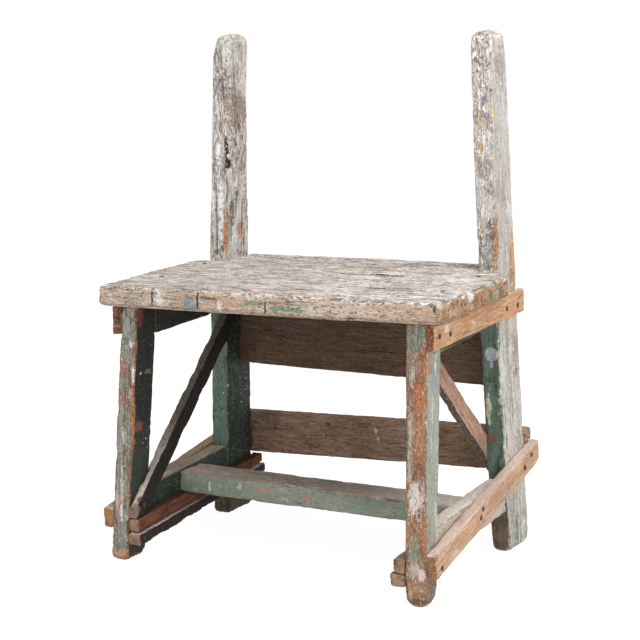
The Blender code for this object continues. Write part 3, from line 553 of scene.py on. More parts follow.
def facing_group():
    """1 where the surface faces along a direction, 0 where it faces away."""
    tree, given, result = new_group("facing", {"Direction": "Vector"}, {"Mask": "Float"})
    normal = put(tree, "NewGeometry").outputs["Normal"]
    turn = put(tree, "VectorMath", {"operation": "DOT_PRODUCT"}, i0=normal, i1=given["Direction"])
    tree.links.new(ramp(tree, turn.outputs["Value"], *FACING_RAMP), result["Mask"])


for build in (grain_group, coat_group, dab_group, speck_group, facing_group):
    build()
print("node groups:", ", ".join(group.name for group in bpy.data.node_groups))

# %% [markdown]
# ## One finish, layer by layer
# A small class keeps the material's tree, and the colour, the roughness and the height so far.
# Each method adds one layer and hands the finish back, so a timber's finish reads from the bare
# wood up. Bump comes last, from all the heights together.

# %% The finish class
SIDES = {
    "front": (0, -1, 0), "back": (0, 1, 0), "right": (1, 0, 0), "left": (-1, 0, 0),
    "top": (0, 0, 1), "under": (0, 0, -1),
}
SHIFT_SHARES = (0.71, 0.43, 0.29)
WOOD_ROUGHNESS, FIBRE_ROUGHNESS, BARE_ROUGHNESS = 0.80, 0.10, 0.82
UNDERGROUND = -0.1
CHECK_COLOUR = (46, 36, 30)
STAIN = {
    "size": (16, 5.5, 5.5), "colour": (70, 50, 38), "strength": 0.55, "ragged": 1.6,
    "raise_by": -0.2,
}


class Finish:
    """The finish of one timber."""

    def __init__(self, name, node, shift, dark, light, figure=0.25, dashes=0.35):
        self.node = node
        turn = grain_turn(node)
        self.material, self.tree, self.shader = new_material(name)
        self.place = put(self.tree, "TexCoord").outputs["Object"]
        self.along = put(
            self.tree, "Mapping", None, Vector=self.place, Rotation=turn,
            Location=[shift * share for share in SHIFT_SHARES],
        ).outputs[0]
        self.grain = use(self.tree, "wood_grain", Vector=self.along)
        self.colour = blend(self.tree, self.grain["Fibre"], tone(*dark), tone(*light))
        self.roughness = scaled(self.tree, self.grain["Fibre"], FIBRE_ROUGHNESS, WOOD_ROUGHNESS)
        self.height = self.both(self.grain["Fibre"], 0.55)
        deeper = tone(*[value * 0.55 for value in dark])
        self.over(self.both(self.grain["Figure"], figure), tone(*dark))
        self.over(self.both(self.grain["Dashes"], dashes), deeper, -0.3)

    def over(self, mask, colour, raise_by=0.0, roughness=None):
        """Lays a colour over what is there, through a mask."""
        self.colour = blend(self.tree, mask, self.colour, colour)
        return self.settle(mask, raise_by, roughness)

    def settle(self, mask, raise_by, roughness):
        """Raises or lowers what a mask picks, and gives it its own roughness."""
        if raise_by:
            self.height = scaled(self.tree, mask, raise_by, self.height)
        if roughness is not None:
            self.roughness = put(
                self.tree, "Mix", {"data_type": "FLOAT"}, i0=mask, i2=self.roughness, i3=roughness
            ).outputs[0]
        return self

    def facing(self, *sides):
        """A mask of the faces that look one of these ways."""
        masks = [use(self.tree, "facing", Direction=SIDES[side])["Mask"] for side in sides]
        total = masks[0]
        for mask in masks[1:]:
            total = maths(self.tree, "MAXIMUM", total, mask)
        return total

    def within(self, axis, low, high, soft=0.01, wander=0.03):
        """A mask between two places along an axis, with a wandering edge."""
        parts = put(self.tree, "SeparateXYZ", None, Vector=self.place)
        swing = maths(self.tree, "SUBTRACT", noise(self.tree, self.place, 28.0, 3.0), 0.5)
        value = scaled(self.tree, swing, wander, parts.outputs["XYZ".index(axis)])
        rises = ramp(self.tree, value, low - soft, low + soft)
        falls = ramp(self.tree, value, high - soft, high + soft, 1.0, 0.0)
        return self.both(rises, falls)

    def up_to(self, height, soft=0.01, wander=0.03):
        """A mask from the floor up to a height."""
        return self.within("Z", UNDERGROUND, height, soft, wander)

    def both(self, first, second):
        """What two masks share, or one mask made weaker."""
        return maths(self.tree, "MULTIPLY", first, second)

    def coat(
        self, colour, other, cover, size, where=1.0, draw=0.3, raise_by=0.35, roughness=0.62,
        rim=0.5,
    ):
        """Flaking paint in two mixed colours, drawn out along the grain where draw is below 1."""
        made = use(
            self.tree, "flaked_coat", Vector=self.along, Under=self.colour, Colour=tone(*colour),
            Other=tone(*other), Fibre=self.grain["Fibre"], Cover=cover, Size=float(size),
            Draw=draw, Where=where, Rim=rim,
        )
        self.colour = made["Colour"]
        return self.settle(made["Mask"], raise_by, roughness)

    def mottle(self, dark, light, pits=0.6, flecks=0.5, crazing=0.0, where=1.0, shakes=0.0):
        """Dark pits, pale flecks, crazing and shakes, at the scale of a few millimetres."""
        deep = [value * 0.6 for value in dark]
        for key, share, colour, step in (
            ("Pits", pits, dark, -0.5), ("Flecks", flecks, light, 0.25),
            ("Crazing", crazing, deep, -0.8), ("Shakes", shakes, deep, -1.2),
        ):
            if share:
                mask = self.both(self.grain[key], share)
                if where != 1.0:
                    mask = self.both(mask, where)
                self.over(mask, tone(*colour), step)
        return self

    def wash(self, colour, strength, where):
        """A thin even layer of colour; its one use is painted light on the left brace."""
        return self.over(self.both(where, strength), tone(*colour))

    def dab(self, across, down, size, colour, strength=1.0, ragged=2.4, raise_by=0.3):
        """A dab where the photograph shows one, with half its size in mm along X, Y and Z."""
        centre = spot(self.node, across, down)
        if centre is None:
            print("no surface of", self.node, "at", across, down)
            return self
        return self.put_dab(centre, size, colour, strength, ragged, raise_by)

    def put_dab(self, centre, size, colour, strength, ragged, raise_by):
        made = use(
            self.tree, "paint_dab", Vector=self.place, Along=self.along, Under=self.colour,
            Colour=tone(*colour), Centre=centre, Size=[value / 1000 for value in size],
            Ragged=ragged, Strength=strength,
        )
        self.colour = made["Colour"]
        return self.settle(made["Mask"], raise_by, None)

    def dabs(self):
        """The marks that the table has for this timber."""
        for row in MARKS.get(self.node, ()):
            self.dab(*row)
        return self

    def stains(self, prefix):
        """Dark rings that rusting nails leave in the wood."""
        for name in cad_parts:
            if name.startswith(prefix):
                low, high = [Vector(corner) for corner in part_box(name)]
                self.put_dab((low + high) / 2, **STAIN)
        return self

    def specks(self, colour, share, size=210.0):
        made = use(
            self.tree, "specks", Vector=self.place, Under=self.colour, Colour=tone(*colour),
            Size=size, Share=share,
        )
        self.colour = made["Colour"]
        return self.settle(made["Mask"], 0.25, 0.5)

    def worn_corners(self, colour, strength=0.8, reach=0.1):
        """Bare wood where hands and feet have rubbed the corners."""
        corner = put(self.tree, "Attribute", {"attribute_name": "corner"}).outputs["Fac"]
        rub = scaled(self.tree, noise(self.tree, self.along, 45.0, 4.0), 0.9, corner)
        mask = self.both(ramp(self.tree, rub, 1.02 - reach, 1.14 - reach), strength)
        darker = tone(*[value * 0.72 for value in colour])
        grained = blend(self.tree, self.grain["Fibre"], darker, tone(*colour))
        return self.over(mask, grained, -0.2, BARE_ROUGHNESS)

    def checks(self, strength):
        """Long dark drying cracks."""
        return self.over(self.both(self.grain["Checks"], strength), tone(*CHECK_COLOUR), -1.2)

    def grime(self, colour, strength):
        """Broad faint patches of dirt."""
        patches = noise(self.tree, self.place, 17.0, 5.0, 0.6)
        return self.over(ramp(self.tree, patches, 0.50, 0.68, 0.0, strength), tone(*colour))

    def done(self, piece, bump=0.7, depth=0.0012):
        """Joins the layers to the shader and gives the finish to the piece."""
        fine = scaled(self.tree, noise(self.tree, self.place, 900.0, 2.0), 0.35, self.height)
        wire(self.tree, self.shader, self.colour, self.roughness, fine, bump, depth)
        self.shader.inputs["Specular IOR Level"].default_value = 0.25
        piece.data.materials.clear()
        piece.data.materials.append(self.material)
        return piece


print("a coat can keep to the faces that look to:", ", ".join(SIDES))

# %% [markdown]
# ## Marks
# Drips, chips, streaks and the shadows in splits are set one by one where the photograph shows
# them. A row gives the place in the photograph, half the size in millimetres along X, Y and Z, the
# colour, and then how strong and how ragged the mark is. Later rows lie over earlier ones.

# %% Marks
MARKS = {
    "seat": (
        (190, 303, (12, 8, 11), (138, 158, 172), 0.9), (253, 303.5, (22, 9, 4), (122, 146, 114), 0.9),
        (290, 309, (28, 9, 5), (116, 142, 110), 0.9), (158.5, 300, (9, 9, 14), (232, 226, 220), 0.85),
        (219.5, 305.5, (4, 9, 13), (232, 224, 212), 0.85), (338, 314, (3, 9, 12), (206, 196, 158), 0.8),
        (349, 320, (8, 9, 4), (92, 62, 64), 0.9), (311, 309, (3, 8, 2), (238, 236, 232), 0.9),
        (471, 295.5, (8, 14, 10), (244, 242, 238), 1, 1.6),
        (491, 295, (7, 9, 9), (112, 140, 114), 0.95, 1.6),
        (500.5, 292, (6, 8, 8), (112, 142, 118), 0.95, 1.6), (440, 304, (10, 9, 8), (224, 212, 198), 0.7),
        # dark lines in the three saw cuts of the front edge: painted shade
        (151.8, 298.5, (1.3, 6, 13), (50, 40, 34), 0.95, 0.5),
        (197.5, 301, (1.6, 6, 15), (46, 36, 32), 1, 0.5),
        (265.2, 308, (1.2, 6, 12), (84, 66, 54), 0.8, 0.5), (434, 309, (2, 5, 9), (64, 48, 38), 0.9, 1.8),
        (428, 306, (8, 6, 2.4), (70, 54, 44), 0.8, 1.8), (208, 298.5, (20, 5, 2.6), (92, 80, 66), 0.8),
        (380, 274.6, (17, 9, 16), (62, 49, 40), 0.95, 0.7),
        (396, 276, (17, 6, 16), (70, 56, 47), 0.9, 0.7), (472, 266.5, (14, 14, 5), (104, 100, 84), 0.7),
        (424, 303.5, (8, 8, 2.6), (242, 238, 232), 0.9, 1.6),
        (376, 288.3, (18, 6, 14), (84, 70, 60), 0.85, 0.8), (110, 288.5, (10, 5, 4), (120, 100, 84), 0.7),
        (108, 297, (8, 9, 9), (214, 196, 172), 0.6), (372, 326, (16, 9, 5), (172, 132, 98), 0.5),
        (414, 300, (10, 10, 9), (214, 200, 186), 0.5), (516, 294.5, (3, 4, 3), (50, 40, 36), 0.9),
    ),
    "rear_post_left": (
        (221, 88, (12, 16, 20), (170, 156, 154), 0.7), (238, 110, (15, 30, 34), (150, 124, 108), 0.85),
        (224, 74, (9, 12, 12), (168, 150, 136), 0.5), (236, 70, (9, 14, 12), (178, 160, 144), 0.5),
        (244, 84, (7, 16, 22), (232, 220, 196), 0.8), (247, 115, (5, 9, 6), (200, 104, 78), 0.95),
        (226, 50, (7, 9, 26), (238, 236, 232), 0.75), (226, 234, (5.5, 9, 42), (198, 140, 90), 1, 1.2),
        (220.8, 251, (4.5, 9, 11), (104, 138, 118), 0.95), (231, 228, (4, 9, 26), (150, 164, 156), 0.8),
        (218, 160, (5, 9, 36), (242, 240, 236), 1, 1.3), (213.4, 202, (3, 9, 44), (244, 242, 238), 1, 1.3),
        (221, 214, (5, 9, 62), (244, 242, 239), 1, 1.3), (238, 212, (10, 16, 12), (228, 222, 218), 0.9),
        (234.5, 235, (3, 9, 34), (238, 236, 232), 1, 1.2), (236, 180, (3, 9, 26), (230, 226, 220), 1, 1.3),
        (240.5, 228, (5, 12, 14), (190, 130, 82), 0.85), (238, 165, (6, 14, 36), (208, 184, 160), 0.6),
        (234, 198, (3, 9, 22), (182, 188, 184), 0.7), (215, 185, (4, 9, 10), (128, 112, 104), 0.7),
        (229, 178, (9, 9, 14), (206, 194, 180), 0.6), (225.8, 147, (3, 30, 19), (48, 37, 31), 1, 0.8),
        (226.1, 162, (2.8, 30, 14), (34, 26, 22), 1, 0.5),
        (226.4, 156, (1.5, 30, 3.4), (242, 240, 238), 1, 0.5),
        (224.5, 150, (1.2, 6, 44), (120, 104, 92), 0.8, 0.8),
        (226.5, 192, (1.4, 6, 34), (96, 82, 70), 0.9, 0.8),
        (232, 212, (1.4, 8, 40), (104, 90, 78), 0.8, 0.9),
        (217, 230, (1.4, 6, 50), (84, 72, 62), 0.9, 0.8),
        (216.2, 200, (1.2, 6, 30), (100, 86, 74), 0.9, 0.9),
        (236, 202, (6, 2.6, 30), (98, 82, 70), 0.85, 1), (242, 214, (6, 2.6, 36), (104, 86, 72), 0.85, 1),
        (244, 236, (6, 3, 20), (112, 92, 76), 0.8, 1), (233, 140, (6, 3, 26), (232, 226, 218), 0.8, 1.2),
        (241, 148, (6, 3, 34), (214, 186, 156), 0.7, 1.2), (239, 128, (6, 3, 14), (88, 68, 58), 0.7, 1.6),
    ),
    "rear_post_right": (
        (494, 113, (5, 6, 12), (230, 200, 132), 0.95), (480, 148, (5, 8, 7), (206, 160, 112), 0.85),
        (479, 122, (14, 9, 18), (190, 158, 128), 0.55), (484, 167, (16, 9, 16), (154, 138, 124), 0.7),
        (490, 192, (9, 8, 14), (140, 130, 122), 0.6), (489, 198, (6, 8, 5), (238, 236, 232), 0.7),
        (495, 240, (5, 12, 56), (198, 148, 100), 0.95), (479, 243, (3.5, 9, 26), (190, 158, 124), 0.8),
        (488, 250, (8, 9, 24), (160, 172, 166), 0.8), (484, 226, (6, 9, 20), (206, 196, 180), 0.6),
        (478, 152, (4, 8, 4), (240, 238, 234), 0.8), (487, 266, (8, 10, 6), (126, 150, 130), 0.8),
        (509, 210, (6, 16, 15), (238, 241, 244), 0.95), (512, 262, (8, 14, 50), (222, 166, 110), 1),
        (505, 262, (7, 10, 22), (182, 188, 174), 0.7), (491.5, 42, (3.5, 6, 20), (246, 242, 234), 0.9),
        (500, 66, (8, 18, 20), (196, 174, 158), 0.6), (490, 62, (6, 8, 40), (226, 222, 218), 0.5),
        (491.5, 354.5, (12.5, 13, 12), (174, 176, 184), 1, 0.25),
        (510.8, 266, (8, 2.4, 30), (74, 58, 48), 0.9, 1), (516, 369, (6, 3, 9), (84, 62, 50), 0.9, 1.2),
        (508, 352, (8, 3, 60), (150, 166, 150), 0.7, 1.3),
        (512, 400, (8, 3, 50), (168, 150, 130), 0.6, 1.3), (491.5, 364, (4, 8, 7), (168, 170, 180), 0.95),
        (489, 409, (4.5, 9, 26), (206, 206, 176), 0.85), (492, 437, (9, 9, 8), (140, 92, 74), 0.8),
        (490, 380, (8, 9, 5), (66, 76, 64), 0.7), (502, 535, (12, 12, 22), (128, 106, 84), 0.6),
        (505, 330, (6, 14, 14), (214, 198, 140), 0.6), (515, 345, (4, 16, 26), (168, 138, 110), 0.6),
        (503, 380, (5, 10, 50), (238, 234, 224), 0.7),
    ),
    "front_leg_left": (
        (132, 344, (5, 8, 7), (232, 232, 226), 0.95), (132.6, 375, (3.5, 8, 16), (230, 228, 222), 0.95),
        (125, 366, (6, 8, 3), (222, 220, 212), 0.9), (124, 397, (8, 8, 14), (158, 110, 96), 0.8),
        (125, 370, (9, 8, 14), (160, 106, 92), 0.8), (134, 351, (4, 8, 12), (150, 84, 66), 0.85),
        (130.6, 395, (4, 8, 10), (226, 224, 218), 0.9), (132.5, 420, (4.5, 8, 62), (178, 120, 82), 0.85),
        (124, 436, (5, 8, 16), (220, 218, 210), 0.6), (121, 511, (4, 8, 16), (226, 222, 216), 0.8),
        (119, 455, (8, 8, 44), (150, 146, 132), 0.6), (139, 426, (5, 12, 10), (152, 88, 72), 0.7),
        (118, 538, (9, 10, 14), (140, 148, 128), 0.7), (148, 371, (2, 12, 4), (150, 150, 120), 0.5),
        (117, 500, (7, 8, 14), (206, 200, 190), 0.5), (138, 318, (5, 14, 22), (110, 56, 40), 0.9),
        (125, 326, (12, 9, 20), (160, 162, 156), 0.8), (122, 480, (3, 8, 40), (214, 212, 204), 0.6),
        (119, 505, (3, 8, 24), (198, 146, 110), 0.7),
    ),
    "front_leg_right": (
        (418, 338, (22, 8, 20), (120, 132, 116), 0.85), (418, 364, (12, 8, 10), (168, 120, 102), 0.8),
        (410, 450, (4, 8, 70), (172, 176, 160), 0.7), (410, 360, (4, 8, 40), (150, 152, 138), 0.7),
        (420, 397, (12, 8, 26), (182, 112, 68), 0.85), (419, 440, (11, 8, 44), (172, 116, 80), 0.7),
        (423.5, 360, (2.6, 8, 34), (186, 112, 66), 0.9, 1.2),
        (416, 498, (12, 8, 22), (206, 196, 188), 0.5), (412, 378, (4, 8, 14), (214, 210, 202), 0.6),
        (421, 575, (8, 8, 9), (216, 208, 204), 0.8), (412, 555, (6, 8, 14), (150, 160, 142), 0.6),
        (434, 345, (6, 12, 12), (92, 108, 96), 0.7), (433, 380, (5, 10, 12), (160, 176, 184), 0.7),
        (430, 585, (6, 10, 10), (122, 98, 78), 0.6), (430, 360, (3, 8, 30), (190, 126, 80), 0.7),
        (415, 500, (11, 8, 26), (228, 224, 218), 0.55, 3.4), (424, 535, (6, 8, 30), (176, 118, 76), 0.7),
        (416, 548, (7, 8, 22), (122, 142, 114), 0.7), (415, 572, (10, 8, 12), (206, 192, 182), 0.6),
        (418, 602, (18, 16, 5), (84, 60, 44), 0.7), (418, 590, (16, 12, 10), (160, 122, 88), 0.6),
    ),
    "cross_stretcher": (
        (262, 490, (16, 9, 5), (184, 134, 116), 0.8), (309, 498, (12, 9, 7), (186, 136, 118), 0.8),
        (336, 498, (6, 9, 5), (180, 140, 124), 0.7), (240, 487, (3, 8, 8), (206, 206, 196), 0.7),
        (210, 487, (3, 8, 10), (214, 214, 204), 0.8), (286, 499, (8, 8, 3), (196, 200, 186), 0.6),
        (385, 512, (10, 9, 5), (172, 146, 130), 0.6), (196, 489, (4, 8, 4), (196, 200, 170), 0.7),
    ),
    "brace_left": (
        (134, 510, (16, 10, 12), (132, 104, 88), 0.85, 1.6), (139, 500, (4, 6, 5), (96, 50, 44), 0.8),
    ),
    "upper_batten_left": (
        (115.5, 318, (12, 8, 1.5), (44, 30, 26), 0.9, 0.8),
        # a dark line at the gap between the batten's end and the leg: painted shadow
        (119, 320, (1.6, 8, 26), (60, 40, 34), 0.7, 0.8),
        (116, 326, (10, 8, 1.6), (190, 140, 108), 0.7, 1),
    ),
    "upper_batten_right": (
        (446.7, 329, (6, 10, 6), (232, 222, 214), 0.85), (474, 322, (3, 8, 5), (228, 212, 198), 0.7),
        (466, 333, (5, 16, 3), (128, 84, 58), 0.5), (500, 316, (5, 16, 3), (134, 90, 64), 0.4),
    ),
    "lower_back_board": (
        (275, 426.6, (4, 9, 4), (56, 44, 38), 0.8), (328, 424, (4, 9, 4), (60, 46, 38), 0.8),
        (376, 431, (3, 9, 6), (214, 204, 196), 0.8), (378, 439, (3, 9, 3), (218, 210, 200), 0.8),
        (478, 437, (3, 9, 3), (52, 42, 36), 0.8), (315, 445, (14, 9, 4), (96, 66, 50), 0.5),
    ),
    "upper_back_board": (
        (290, 326, (40, 9, 10), (96, 88, 80), 0.45), (330, 338, (50, 9, 7), (86, 76, 68), 0.4),
        (410, 340, (16, 9, 8), (92, 84, 76), 0.4),
    ),
    "lower_batten_right": (
        (437, 558, (8, 6, 8), (124, 92, 68), 0.5), (480, 520, (5, 18, 4), (140, 104, 78), 0.45),
        (510, 484, (5, 16, 4), (150, 112, 84), 0.4), (455, 552, (4, 14, 3), (228, 208, 188), 0.5),
    ),
}
print(sum(len(rows) for rows in MARKS.values()), "marks on", len(MARKS), "timbers")

# %% [markdown]
# ## The seat
# The seat is one thick slab. It has old saw cuts in its front edge and drying splits in its top.
# Both are cut with a Boolean after the wood is worn, because such a gap has to stay sharp and dark.

# %% Shape of the seat
SEAT_LOW, SEAT_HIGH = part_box("seat")
SEAT_MIDDLE, SEAT_HALF = (SEAT_LOW[0] + SEAT_HIGH[0]) / 2, (SEAT_HIGH[0] - SEAT_LOW[0]) / 2
ROUND_REACH, ROUND_FADE = 0.034, 0.020
# where a cut starts and ends in the photograph, its width and, for a saw cut, its depth
KERFS = (
    ((152.5, 291), (151.5, 306), 0.0030, 0.014), ((197.8, 292.5), (197.2, 310), 0.0038, 0.020),
    ((265.5, 301), (265, 315), 0.0026, 0.008),
)
CRACKS = (
    ((371, 273.8), (388, 275.3), 0.014), ((386, 275.2), (405, 276.6), 0.009),
    ((330, 280), (352, 282), 0.005), ((205, 268), (226, 267), 0.005),
    ((430, 287), (452, 283), 0.006), ((366, 287.5), (388, 289), 0.008),
    ((120, 280), (135, 277), 0.004), ((410, 273), (436, 274), 0.004),
    ((252, 262), (274, 261), 0.004), ((392, 288.5), (420, 289), 0.004),
)
CRACK_DEPTH = 0.006


def seat_corner(place):
    """A weight for the rounded front corners of the seat."""
    out = abs(place.x - SEAT_MIDDLE) - SEAT_HALF
    return (out + SEAT_LOW[1] - place.y + ROUND_REACH) / ROUND_FADE


seat = weathered(
    "seat", skin=0.0025, swell=0.0022, bite=0.007, seed=3, smooth=((seat_corner, 16),),
)
slivers = [sliver("seat", *row, BACKWARD) for row in KERFS]
slivers += [sliver("seat", *row, CRACK_DEPTH, DOWNWARD) for row in CRACKS]
cut(seat, slivers)
print("seat:", len(seat.data.polygons), "faces")

# %% [markdown]
# The top of the seat is bleached grey with short dark dashes along its grain, its front edge is tan
# and its end grain orange-brown. Paint has been spilled and wiped on it.

# %% Finish of the seat
BRIGHT_FROM = 0.04
BROW_DEPTH, FAR_DEPTH, BEYOND = 0.035, 0.09, 0.1
finish = Finish("seat_wood", "seat", 1.0, (170, 156, 143), (208, 198, 189), 0.10, 0.3)
edge = finish.facing("front", "left", "back")
end = finish.facing("right")
top = finish.facing("top")
finish.coat((196, 164, 138), (206, 186, 168), 0.86, 34, edge, 0.4, 0.1, 0.8, 0.4)
finish.coat((186, 166, 152), (222, 212, 202), 0.36, 70, edge, 0.5, 0.1, 0.8, 0.3)
finish.coat((180, 136, 98), (208, 176, 142), 0.85, 110, end, 1.0, 0.1, 0.85)
finish.coat((84, 60, 44), (112, 82, 58), 0.36, 200, end, 1.0, -0.8, 0.9, 0.3)
finish.worn_corners((196, 172, 146), 0.7, 0.15)
finish.coat((220, 211, 203), (202, 191, 181), 0.62, 90, top, 0.45, 0.1, 0.8, 0.6)
finish.coat((176, 160, 146), (162, 146, 132), 0.26, 60, top, 0.3, -0.1, 0.85, 0.4)
bright = finish.both(top, finish.within("X", BRIGHT_FROM, 0.4, 0.05, 0.06))
finish.coat((240, 232, 226), (228, 219, 211), 0.55, 80, bright, 0.45, 0.1, 0.8, 0.6)
finish.dabs()
finish.mottle((96, 76, 60), (234, 227, 219), 0.75, 0.6, 0.2, edge)
finish.mottle((112, 97, 84), (236, 230, 223), 0.7, 0.6, 0.6, top, 0.9)
near = finish.within("Y", SEAT_LOW[1] - BEYOND, SEAT_LOW[1] + BROW_DEPTH)
finish.mottle((92, 76, 64), (240, 236, 230), 0.7, 0.6, 0.4, finish.both(top, near))
far = finish.within("Y", SEAT_HIGH[1] - FAR_DEPTH, SEAT_HIGH[1] + BEYOND, 0.05, 0.06)
finish.mottle((84, 68, 54), (226, 218, 208), 0.5, 0.3, 0.9, finish.both(top, far), 0.9)
finish.coat((96, 82, 70), (120, 104, 90), 0.16, 120, 1.0, 0.4, -0.3, 0.9, 0.3)
finish.checks(0.7).grime((128, 110, 94), 0.2)
finish.done(seat, 0.9, 0.0020)
print("seat:", len(finish.tree.nodes), "nodes in its shader")

# %% [markdown]
# ## The rear posts
# Both posts are hewn from old painted timber, with rounded tops. Above the seat they show pale
# paint worn down in upright streaks, with brown wood where it has gone. Below the seat their front
# faces keep a green coat. The splits of the left post are narrow dark marks and no more.

# %% Left rear post
CROWN_LEAN = 60
SEAT_LEVEL, OVERHEAD = 0.44, 0.90
LEFT_PAINT, RIGHT_PAINT = 0.435, 0.445
SHARP = 0.004


def crown(name, reach, side=0.0):
    """A weight that grows toward the top of a post, and more on one side of it."""
    low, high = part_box(name)

    def weigh(place):
        up = (place.z - high[2] + reach) / reach
        return up * (1 + side * (place.x - (low[0] + high[0]) / 2) * CROWN_LEAN)

    return weigh


def worn_foot(name, reach):
    """A weight that grows toward the floor end of a leg."""
    low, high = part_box(name)
    return lambda place: (low[2] + reach - place.z) / reach


post_left = weathered(
    "rear_post_left", seed=11, swell=0.0024,
    smooth=((crown("rear_post_left", 0.03), 40), (crown("rear_post_left", 0.04, -1), 120)),
)
finish = Finish(
    "post_left_paint", "rear_post_left", 2.0, (140, 128, 116), (192, 182, 171), 0.15, 0.4
)
above = finish.within("Z", SEAT_LEVEL, OVERHEAD)
below = finish.up_to(LEFT_PAINT, SHARP, SHARP)
finish.coat((222, 215, 207), (200, 190, 180), 0.78, 26, above, 0.55)
finish.coat((176, 158, 143), (160, 143, 130), 0.24, 20, above, 0.45)
finish.coat((234, 229, 223), (222, 214, 206), 0.44, 55, above, 0.5, rim=0.7)
lower = finish.within("Z", SEAT_LEVEL, 0.66)
finish.coat((240, 238, 234), (230, 226, 220), 0.22, 60, lower, 0.08, rim=0.8)
finish.coat((190, 136, 96), (164, 116, 86), 0.14, 60, above, 0.25)
front = finish.both(below, finish.facing("front"))
inner = finish.both(below, finish.facing("right"))
finish.coat((108, 132, 118), (86, 108, 96), 0.94, 30, front, 0.2)
finish.coat((152, 166, 150), (128, 146, 132), 0.30, 50, front, 0.12)
# near-black coat on the inner face below the seat: dark green paint with painted shade from the seat above
# it
finish.coat((40, 48, 40), (34, 40, 34), 0.94, 30, inner, 0.3)
middle = finish.both(inner, finish.within("Z", 0.05, 0.27, 0.05))
finish.coat((66, 88, 78), (50, 68, 58), 0.50, 40, middle, 0.2)
finish.coat((84, 74, 58), (62, 58, 46), 0.8, 40, finish.up_to(0.055, 0.02, 0.04), 0.6)
finish.worn_corners((196, 180, 164), 0.45, 0.0)
finish.dabs()
finish.mottle((98, 84, 74), (244, 241, 237), 0.7, 0.75, 0.8, above).checks(0.6)
finish.mottle((44, 54, 46), (164, 182, 166), 0.5, 0.5, 0.4, below)
finish.specks((226, 224, 216), 0.06, 130.0)
finish.done(post_left, 0.9, 0.0018)
print("left post:", len(post_left.data.polygons), "faces")

# %% [markdown]
# The right post shows two faces. The one in the light is pale from top to bottom, and the one in
# front is streaked above the seat, green below it and rubbed to brown near the floor. Its splits
# are cut before the wood is worn. The upper one stays open, and the lower one almost closes again.

# %% Right rear post
RIGHT_SPLITS = (
    ((513, 262), (513.5, 282), 0.006, 0.012, LEFTWARD),
    ((509, 306), (509.6, 342), 0.004, 0.008, LEFTWARD),
)
post_right = weathered(
    "rear_post_right", seed=17, swell=0.0024, splits=RIGHT_SPLITS,
    smooth=((crown("rear_post_right", 0.03), 60), (worn_foot("rear_post_right", 0.03), 50)),
)
finish = Finish(
    "post_right_paint", "rear_post_right", 3.0, (148, 136, 124), (196, 187, 177), 0.15, 0.4
)
above = finish.within("Z", SEAT_LEVEL, OVERHEAD)
below = finish.up_to(RIGHT_PAINT, SHARP, SHARP)
front = finish.facing("front", "left")
side = finish.facing("right", "top")
streaked, green = finish.both(above, front), finish.both(below, front)
upper, lower = finish.both(above, side), finish.both(below, side)
foot = finish.both(finish.up_to(0.12, 0.03, 0.08), finish.facing("front"))
finish.coat((218, 210, 202), (198, 188, 178), 0.82, 32, streaked, 0.6)
finish.coat((166, 148, 132), (150, 132, 118), 0.28, 22, streaked, 0.5)
finish.coat((224, 217, 209), (208, 199, 190), 0.92, 22, side, 0.14, rim=0.3)
finish.coat((198, 180, 166), (188, 172, 158), 0.30, 26, side, 0.3, rim=0.2)
finish.coat((238, 233, 227), (226, 219, 211), 0.52, 80, streaked, 0.7, rim=0.8)
finish.coat((240, 237, 232), (230, 226, 219), 0.36, 60, side, 0.10, rim=0.6)
finish.coat((98, 120, 106), (78, 98, 86), 0.95, 50, green, 0.3)
finish.coat((62, 76, 66), (52, 64, 56), 0.30, 50, green, 0.3)
finish.coat((240, 236, 226), (224, 220, 208), 0.62, 46, lower, 0.10)
finish.coat((176, 190, 172), (160, 176, 158), 0.34, 50, lower, 0.10)
finish.coat((178, 148, 120), (156, 130, 106), 0.22, 60, lower, 0.12)
finish.coat((108, 80, 60), (128, 98, 76), 0.62, 34, foot, 0.3)
finish.worn_corners((206, 190, 174), 0.5, 0.0)
finish.dabs()
finish.mottle((112, 101, 91), (243, 240, 236), 0.7, 0.65, 0.8, streaked)
finish.mottle((146, 134, 122), (243, 240, 236), 0.55, 0.5, 0.5, upper)
finish.mottle((132, 118, 102), (248, 246, 240), 0.55, 0.7, 0.4, lower)
finish.mottle((50, 60, 50), (150, 164, 148), 0.5, 0.35, 0.3, green)
finish.checks(0.7).specks((228, 226, 218), 0.12, 130.0)
finish.done(post_right, 0.9, 0.0018)
print("right post:", len(post_right.data.polygons), "faces")

# %% [markdown]
# ## The front legs
# The front legs carried the same green paint, and knees and feet have worn it away. The left leg
# keeps grey-green and red-brown patches, and its inner face is painted nearly black: dark green
# paint with painted shade from the seat above it.

# %% Left front leg
leg_left = weathered(
    "front_leg_left", skin=0.0020, bite=0.005, seed=23,
    smooth=((worn_foot("front_leg_left", 0.014), 25),),
)
finish = Finish("leg_left_paint", "front_leg_left", 4.0, (122, 94, 76), (176, 148, 126), 0.2, 0.6)
front = finish.facing("front", "left")
inner = finish.facing("right", "back")
finish.coat((152, 144, 132), (130, 128, 116), 0.84, 24, front, 0.45)
finish.coat((156, 112, 96), (134, 98, 84), 0.34, 34, front, 0.5)
finish.coat((112, 126, 106), (98, 114, 94), 0.30, 30, front, 0.45)
finish.coat((222, 220, 212), (204, 204, 196), 0.20, 90, front, 0.4, rim=0.8)
